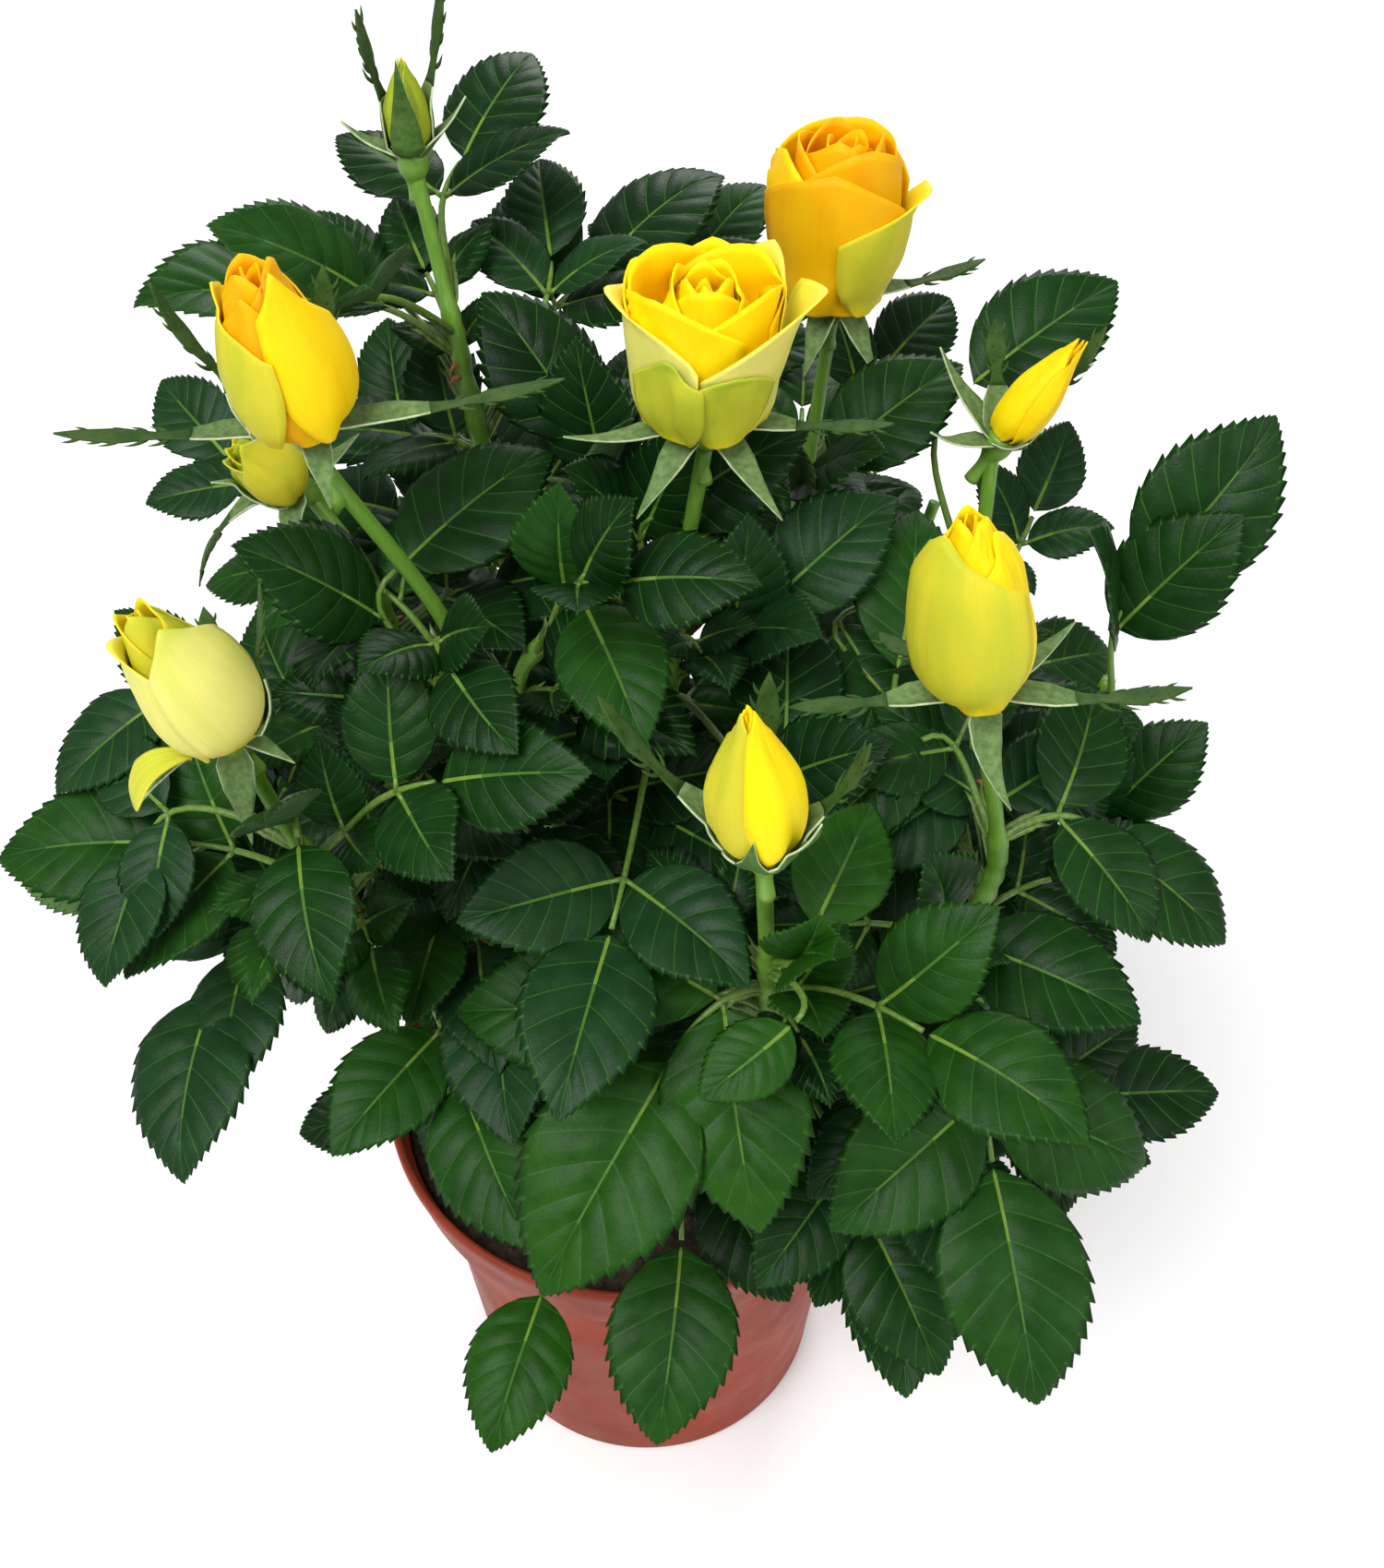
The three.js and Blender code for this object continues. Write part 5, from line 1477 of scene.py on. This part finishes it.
class Layers:
    """How far out a bloom's petals reach so far, by height and angle, so that the next lies outside them."""

    HEIGHTS, ANGLES = 48, 90

    def __init__(self, height):
        self.height = 1.15 * height
        self.reach = np.zeros((self.HEIGHTS, self.ANGLES))

    def cell(self, z, angle):
        return np.clip(z / self.height, 0, 1) * (self.HEIGHTS - 1), (angle / 360 % 1) * self.ANGLES

    def at(self, z, angle):
        row, column = self.cell(z, angle)
        i = np.minimum(row.astype(int), self.HEIGHTS - 2)
        j = column.astype(int) % self.ANGLES
        k = (j + 1) % self.ANGLES
        v, w = row - i, column - column.astype(int)
        low = self.reach[i, j] * (1 - w) + self.reach[i, k] * w
        high = self.reach[i + 1, j] * (1 - w) + self.reach[i + 1, k] * w
        return low * (1 - v) + high * v

    def add(self, z, angle, r):
        """A petal's reach, spread to the cells round it, and the steps between the cells smoothed."""
        row, column = self.cell(z, angle)
        fresh = np.zeros_like(self.reach)
        np.maximum.at(fresh, (np.rint(row).astype(int), np.rint(column).astype(int) % self.ANGLES), r)
        for _ in range(2):
            padded = np.pad(fresh, ((1, 1), (0, 0)), mode="edge")
            fresh = np.maximum(fresh, np.maximum(padded[:-2], padded[2:]))
            fresh = np.maximum(fresh, np.maximum(np.roll(fresh, 1, 1), np.roll(fresh, -1, 1)))
        self.reach = np.maximum(self.reach, fresh)
        for _ in range(2):
            padded = np.pad(self.reach, ((1, 1), (0, 0)), mode="edge")
            around = (padded[:-2] + padded[2:] + np.roll(self.reach, 1, 1) + np.roll(self.reach, -1, 1)) / 4
            self.reach = (self.reach + around) / 2


PETAL_ROWS, PETAL_COLUMNS = 20, 17
PETAL_THICKNESS = 0.3
SLOPE_STEPS = 80  # in which a petal's slope is summed up
HEART_STRAY = 8  # degrees by which a petal of the heart may stray
SEPAL_THICKNESS = 0.32
SEPAL_GAP = 0.4  # a sepal lies at least this far outside the petals
LEAFY_LENGTH = 21  # a longer sepal has a leafy tip
# Half a sepal's width in millimetres, by shares of its length.
PLAIN_SEPAL = ((0, 0.15, 0.4, 0.7, 1), (1.6, 2.8, 2.4, 1.1, 0.05))
LEAFY_SEPAL = ((0, 0.1, 0.32, 0.48, 0.58, 0.74, 0.9, 1), (1.6, 2.9, 2.6, 1.2, 0.8, 1.9, 1.2, 0.05))
TIP_LOBES = (5, 4, 4, 4, 3)  # pairs of lobes on a leafy tip, from a bloom's first sepal to its last
HIP, SEPAL, FELT, MARGIN, TIP = range(5)  # the slots of a calyx's materials


def bend_petal(layers, row, rng):
    """Where a petal's points lie round its bloom's axis. Its sizes are in millimetres and degrees."""
    azimuth, half_angle, height, foot, rises, point, skew, roll, overlap = row
    v = np.linspace(0, 1, PETAL_ROWS)[:, None]
    u = np.linspace(-1, 1, PETAL_COLUMNS)[None, :]
    fine = np.linspace(0, 1, SLOPE_STEPS + 1)
    slope = np.radians(eased(np.linspace(0, 1, len(RISES[rises])), RISES[rises], fine))
    slope = (slope[1:] + slope[:-1]) / 2
    rise = np.concatenate(([0], np.cumsum(np.cos(slope)))) / SLOPE_STEPS
    reach = np.concatenate(([0], np.cumsum(np.sin(slope)))) / SLOPE_STEPS
    length = height / max(np.abs(rise).max(), 0.55)
    side = np.abs(u - skew) / (1 + abs(skew))
    top = 1 - lerp(0.17 * side**3 + 0.05 * side, 0.36 * side**1.15, point)
    top = top + 0.015 * np.cos(rng.uniform(2, 5) * u + rng.uniform(0, 6))
    along = np.clip(v * top / top.max(), 0, 1)
    z = np.interp(along, fine, rise) * length
    r = foot + np.interp(along, fine, reach) * length
    spread = 0.5 + 0.5 * np.sin(np.clip(along / 0.5, 0, 1) * math.pi / 2)
    spread = spread * (1 - 0.14 * smooth(along, 0.75, 1))
    rolled = roll * smooth(along, 0.78, 1) * (0.5 + 0.5 * np.abs(u))
    curl = rng.uniform(0.3, 0.8) * smooth(along, 0.55, 1) * np.abs(u) ** 2.5
    r = np.maximum(r + overlap * u * smooth(along, 0.05, 0.5) + curl + rolled, 0.12)
    z = z - 0.5 * curl - 0.7 * rolled
    z = z + 0.35 * np.sin(rng.uniform(3, 6) * u + rng.uniform(0, 6)) * smooth(along, 0.7, 1)
    angle = azimuth + 180 + half_angle * spread * u
    r = np.maximum(r, layers.at(z, angle) + PETAL_GAP)
    layers.add(z, angle, r)
    return z, r, angle, along, np.broadcast_to(u, z.shape)


def make_petals(number, bloom, colours, rng):
    """The petals as one piece. Gives back how far out they reach, for the sepals."""
    place = bloom_frame(bloom)
    seat, girth, narrowing, neck = SEATS[number]
    height, radius = bloom["height"] - seat, bloom["radius"]
    rows = []
    for count, half, tall, foot, rises, turn in HEARTS[bloom["form"]]:
        for k in range(count):
            azimuth = bloom["turn"] + turn + 360 * k / count + rng.uniform(-HEART_STRAY, HEART_STRAY)
            point, skew, roll, overlap = 0.1, 0, 0.2, 0.04 * radius
            rows.append((azimuth, half, tall, foot, rises, point, skew, roll, overlap, bloom["colour"]))
    rows += OUTER_PETALS[number]
    used = sorted({row[-1] for row in rows})
    layers, bent, widest = Layers(height), [], 0
    for azimuth, half, tall, foot, *rest, colour in rows:
        tall *= height * rng.uniform(0.98, 1)
        petal = bend_petal(layers, (azimuth, half, tall, foot * radius, *rest), rng)
        bent.append((petal, used.index(colour)))
        # The body is as wide as its petals are below their flaring rims. A petal that hangs doesn't count.
        if "sag" not in rest:
            _, r, _, along, _ = petal
            widest = max(widest, r[along < 0.6].max())
    petals, outline = Shape(), Layers(height)
    for (z, r, angle, along, across), index in bent:
        r = r * girth / widest * (1 - narrowing * smooth(z / height, neck, 1))
        if z.max() > 0.5 * height:
            outline.add(z, angle, r)
        add_sheet(
            petals, place(z + seat, r, angle), PETAL_THICKNESS, slots=(2 * index, 2 * index + 1), rise=along,
            across=across, shade=rng.uniform(0, 40),
        )
    materials = [side for name in used for side in colours[name]]
    petals.piece(f"bloom_{number}_petals", "petals", materials, [f"bloom_{number}"])
    return outline


def make_blooms():
    colours = {
        name: [
            petal_material(f"petal_{name}_outside", *outside),
            petal_material(f"petal_{name}_inside", *inside),
        ]
        for name, (outside, inside) in PETAL_COLOURS.items()
    }
    calyx_materials = [
        cane_material("hip", (88, 130, 40), (100, 146, 46)),
        plain_material("sepal", (60, 92, 38), (80, 112, 50), 0.65, 700),
        plain_material("sepal_felt", (82, 108, 60), (110, 134, 82), 0.85, 900),
        plain_material("sepal_margin", (160, 174, 132), (186, 198, 160), 0.9, 900),
        plain_material("sepal_tip", (38, 68, 24), (62, 84, 38), 0.6),
    ]
    for shoot in SHOOTS:
        if "bloom" not in shoot:
            continue
        bloom, number = shoot["bloom"], shoot["number"]
        rng = np.random.default_rng(100 + number)
        outline = make_petals(number, bloom, colours, rng)
        seat = SEATS[number][0]
        calyx = Shape()
        add_hip(calyx, bloom, seat)
        for index, row in enumerate(bloom["sepals"]):
            add_sepal(calyx, bloom, row, index, seat, outline, rng)
        calyx.piece(f"bloom_{number}_calyx", "cane", calyx_materials)


def add_hip(shape, bloom, seat):
    """The end of the stalk, the hip under the petals, and the small disc that they stand on."""
    place = bloom_frame(bloom)
    hip = hip_radius(bloom) * (0.85 if bloom["form"] == "bud" else 1)
    foot, neck = -HIP_HEIGHT - 1.5, seat - HIP_HEIGHT - 1.5
    rises = np.concatenate((np.linspace(foot, neck, 6)[:-1], np.linspace(neck, seat + 0.6, 15)))
    reaches = eased(
        (foot, neck + 1.5, seat - 3, seat - 1.2, seat, seat + 0.6),
        (STALK_RADIUS, STALK_RADIUS + 0.15, 1.08 * hip, 1.15 * hip, hip, 0.3 * hip), rises,
    )
    turns = np.degrees(full_turn(20))
    rings = place(rises[:, None], reaches[:, None], turns[None, :])
    ends = [place(rises[0], 0, 0), place(rises[-1], 0, 0)]
    add_body(shape, rings, ends, HIP, rise=0.6, flip=True)


def add_sepal(shape, bloom, row, index, seat, outline, rng):
    """A broad felted sepal with a pale margin that narrows to a point, and on the long ones a leafy tip."""
    azimuth, _, last, length = row
    place = bloom_frame(bloom)
    solid = sepal_path(place, bloom, row)

    def outside(points):
        rise, radius, turn = in_bloom_frame(bloom, points)
        clear = outline.at(rise - seat, turn) + SEPAL_GAP
        return place(rise, np.where(rise > seat + 0.4, np.maximum(radius, clear), radius), turn)

    # Its foot is seated as high as the petals. An upright one still ends where the solid one ends.
    marks = np.linspace(0, 1, 13)
    lift = seat * (1 - marks * max(0, math.sin(math.radians(last))))
    axis = place(1, 0, 0) - place(0, 0, 0)
    path = spline(outside(solid.point(marks) + lift[:, None] * axis))
    rows, columns = 26, 7
    shares = np.linspace(0, 1, rows)
    middle, tangent = path.point(shares), path.tangent(shares)
    side = heading(azimuth + 90, 0)
    inward = np.cross(tangent, side)
    leafy = length > LEAFY_LENGTH
    half = min(1, length / 14) * np.interp(shares, *(LEAFY_SEPAL if leafy else PLAIN_SEPAL))
    u = np.linspace(-1, 1, columns)
    across, cup = half[:, None] * u, 0.4 * (1 - smooth(shares, 0.2, 0.8))
    grid = outside(
        middle[:, None] + side * across[..., None]
        + inward[:, None] * (cup[:, None] * across * u)[..., None]
    )
    if not leafy:
        add_sheet(shape, grid, SEPAL_THICKNESS, (SEPAL, FELT, MARGIN))
        return
    felted = 12  # rows, up to where the leafy tip starts
    add_sheet(shape, grid[:felted], SEPAL_THICKNESS, (SEPAL, FELT, MARGIN))
    add_sheet(shape, grid[felted - 1:], SEPAL_THICKNESS, (TIP, TIP))
    lobes = TIP_LOBES[index]
    for k in range(lobes):
        for hand in (side, -side):
            share = lerp(0.5, 0.92, (k + 0.5) / lobes) + rng.uniform(-0.02, 0.02)
            foot = path.point(share) + hand * 0.5
            reach = rng.uniform(2.2, 3.8) * (1 - 0.45 * share)
            along = path.tangent(share)
            bend = foot + (hand * 0.55 + along * 0.45) * reach
            lobe = spline([foot, bend, foot + (hand * 0.8 + along * 1.15) * reach])
            add_tube(shape, lobe, (0, 1), lambda at: 0.4 * (1 - at) ** 0.8 + 0.04, sides=6, steps=5, slot=TIP)


# ---- pot and soil -------------------------------------------------------------------------------------
def lathe(shape, profile, sides):
    """A closed turned body. The profile runs from the axis and back to it."""
    turn = full_turn(sides)
    radius, z = np.array(profile, float).T
    level = np.repeat(z[:, None], sides, 1)
    rings = np.stack([np.outer(radius, np.cos(turn)), np.outer(radius, np.sin(turn)), level], -1)
    add_body(shape, rings[1:-1], [(0, 0, z[0]), (0, 0, z[-1])])


# Corners of the pot's profile. The foot's lie from the base's edge, the rim's from the edge of the top.
POT_FOOT = ((-5, 2.2), (-4.2, 1.6), (-3.8, 0.2), (-3.2, 0), (-1.3, 0), (-0.5, 0.3), (0, 1.3))
POT_RIM = (
    (-0.5, -3.8), (-0.1, -3), (0, -1.6), (-0.2, -0.5), (-0.8, -0.05), (-1.5, -0.2), (-1.9, -0.9),
)


def make_pot():
    collar_foot = POT_HEIGHT - COLLAR_HEIGHT
    shape = Shape()
    body = [
        (lerp(BASE_RADIUS, BODY_RADIUS, (z - 1.5) / (collar_foot - 2.5)), z)
        for z in np.linspace(2.4, collar_foot - 2.2, 12)
    ]
    profile = [
        (0, POT_FOOT[0][1]), *((BASE_RADIUS + out, z) for out, z in POT_FOOT), *body,
        (BODY_RADIUS + 0.1, collar_foot - 1.4), (BODY_RADIUS + 1.2, collar_foot - 0.7),
        (COLLAR_FOOT_RADIUS - 0.9, collar_foot - 0.1), (COLLAR_FOOT_RADIUS - 0.2, collar_foot + 0.5),
        (COLLAR_FOOT_RADIUS + 0.1, collar_foot + 1.5),
        (lerp(COLLAR_FOOT_RADIUS, RIM_RADIUS - 0.4, 0.5), collar_foot + 7),
        *((RIM_RADIUS + out, POT_HEIGHT + up) for out, up in POT_RIM),
        (COLLAR_FOOT_RADIUS - WALL, collar_foot + 6), (BODY_RADIUS - WALL, collar_foot + 4),
        (BODY_RADIUS - WALL - 2, collar_foot), (0, collar_foot),
    ]
    lathe(shape, profile, 144)
    shape.piece("pot_shell", "pot", [pot_material()], ["pot"])


def soil_height(x, y):
    """The soil's waves, which are flat round the stems."""
    feet = np.array([stem["foot"] for stem in STEMS.values()])
    nearest = np.min([np.hypot(x - foot_x, y - foot_y) for foot_x, foot_y in feet], axis=0)
    loose = smooth(nearest, STEM_FLARE, 2.5 * STEM_FLARE)
    waves = 0.5 * np.sin(x / 6.1 + 1) * np.cos(y / 7.3) + 0.5 * np.sin((x + y) / 9.7)
    return SOIL_LEVEL + SOIL_RELIEF * loose * waves


SOIL_REACH = RIM_RADIUS - 2 - WALL - GAP - 0.3
SOIL_SKIRT = SOIL_LEVEL - 8
# Height, length and two phases of each run of lumps.
SOIL_LUMPS = ((0.5, 2.1, 0.3, 1.2), (0.35, 1.1, 2.2, 0.4), (0.25, 0.63, 1.0, 2.6))
CRUMBS = 700
CHIP_SHARE = 0.12  # of the crumbs are chips of bark


def make_soil():
    rng = np.random.default_rng(3)
    soil = soil_material()
    shape = Shape()
    rows, sides = 46, 150
    radii = np.linspace(SOIL_REACH, 0.4, rows)[:, None]
    turn = full_turn(sides)[None, :]
    x, y = radii * np.cos(turn), radii * np.sin(turn)
    lumps = sum(
        amount * np.sin(x / scale + a) * np.sin(y / scale + b) for amount, scale, a, b in SOIL_LUMPS
    )
    z = soil_height(x, y) + lumps + rng.normal(0, 0.16, x.shape)
    skirt = np.stack([x[:1], y[:1], np.full((1, sides), SOIL_SKIRT)], -1)
    rings = np.concatenate((skirt, np.stack([x, y, z], -1)))
    add_body(shape, rings, [(0, 0, SOIL_SKIRT), (0, 0, SOIL_LEVEL)])
    shape.piece("soil_bed", "soil", [soil], ["soil"])
    crumbs = Shape()
    ball = bmesh.new()
    bmesh.ops.create_icosphere(ball, subdivisions=1, radius=1)
    points = np.array([tuple(v.co) for v in ball.verts])
    faces = np.array([[v.index for v in face.verts] for face in ball.faces])
    ball.free()
    for _ in range(CRUMBS):
        distance, angle = (SOIL_REACH - 2) * math.sqrt(rng.random()), rng.uniform(0, 2 * math.pi)
        x, y = distance * math.cos(angle), distance * math.sin(angle)
        size = rng.uniform(0.5, 1.5)
        lump = points * (1 + rng.normal(0, 0.22, (len(points), 1))) * size * rng.uniform(0.6, 1.2, 3)
        place = (x, y, soil_height(x, y) + 0.3 * size)
        crumbs.add(lump + place, faces, 1 if rng.random() < CHIP_SHARE else 0)
    chip = plain_material("bark_chip", (92, 62, 40), (132, 96, 64), 0.9)
    crumbs.piece("soil_crumbs", "soil", [soil, chip])


# ---- floor, light and camera --------------------------------------------------------------------------
FLOOR_HALF = 6  # metres
SKY_STRENGTH = 0.37
# Name, place, what it is aimed at, side of the square in metres, watts.
LAMPS = (
    ("key", (-0.5, -0.8, 1.5), (0, 0, 0.2), 0.9, 29),
    ("fill", (1.1, -0.9, 0.9), (0, 0, 0.2), 1.0, 9),
    ("rim", (0.2, 1.2, 1.1), (0, 0, 0.25), 0.8, 12),
)
# The camera that was fitted to the photo: place in metres, degrees down, millimetres of lens and sensor.
CAMERA_PLACE = (0.012, -0.253, 0.444)
CAMERA_PITCH = 44
CAMERA_LENS, CAMERA_SENSOR = 40.26, 36


def make_studio():
    floor = bpy.data.meshes.new("floor")
    corners = [(-1, -1), (1, -1), (1, 1), (-1, 1)]
    floor.from_pydata([(x * FLOOR_HALF, y * FLOOR_HALF, 0) for x, y in corners], [], [(0, 1, 2, 3)])
    ground = add_object("floor", floor)
    paper = Surface("studio_floor", 0.9)
    paper.colour(paper.ramp(paper.noise(3, 2), [(0.3, linear(240, 240, 240)), (0.7, linear(244, 244, 244))]))
    floor.materials.append(paper.material)
    world = bpy.data.worlds.new("studio")
    bpy.context.scene.world = world
    world.use_nodes = True
    background = world.node_tree.nodes["Background"]
    background.inputs["Color"].default_value = (1, 1, 1, 1)
    background.inputs["Strength"].default_value = SKY_STRENGTH
    for name, place, aim, size, power in LAMPS:
        lamp = bpy.data.lights.new(name, "AREA")
        lamp.size = size
        lamp.energy = power
        made = add_object(name, lamp)
        made.location = place
        made.rotation_euler = (Vector(aim) - Vector(place)).to_track_quat("-Z", "Y").to_euler()


def set_tones():
    """The plain transform keeps the yellows as strong as they are."""
    bpy.context.scene.view_settings.view_transform = "Standard"


def make_camera():
    """The photograph looks down on the bush from the front."""
    camera = bpy.data.cameras.new("camera")
    camera.sensor_width = CAMERA_SENSOR
    camera.lens = CAMERA_LENS
    camera.clip_start = 0.01
    made = add_object("camera", camera)
    made.location = CAMERA_PLACE
    made.rotation_euler = (math.radians(90 - CAMERA_PITCH), 0, 0)
    bpy.context.scene.camera = made


# ---- assembly -----------------------------------------------------------------------------------------
stem_paths = {name: stem_path(stem) for name, stem in STEMS.items()}
grow_limbs()
grow_leaves()
make_pot()
make_soil()
make_stems()
make_canes()
make_prickles()
make_foliage()
make_blooms()
make_studio()
set_tones()
make_camera()
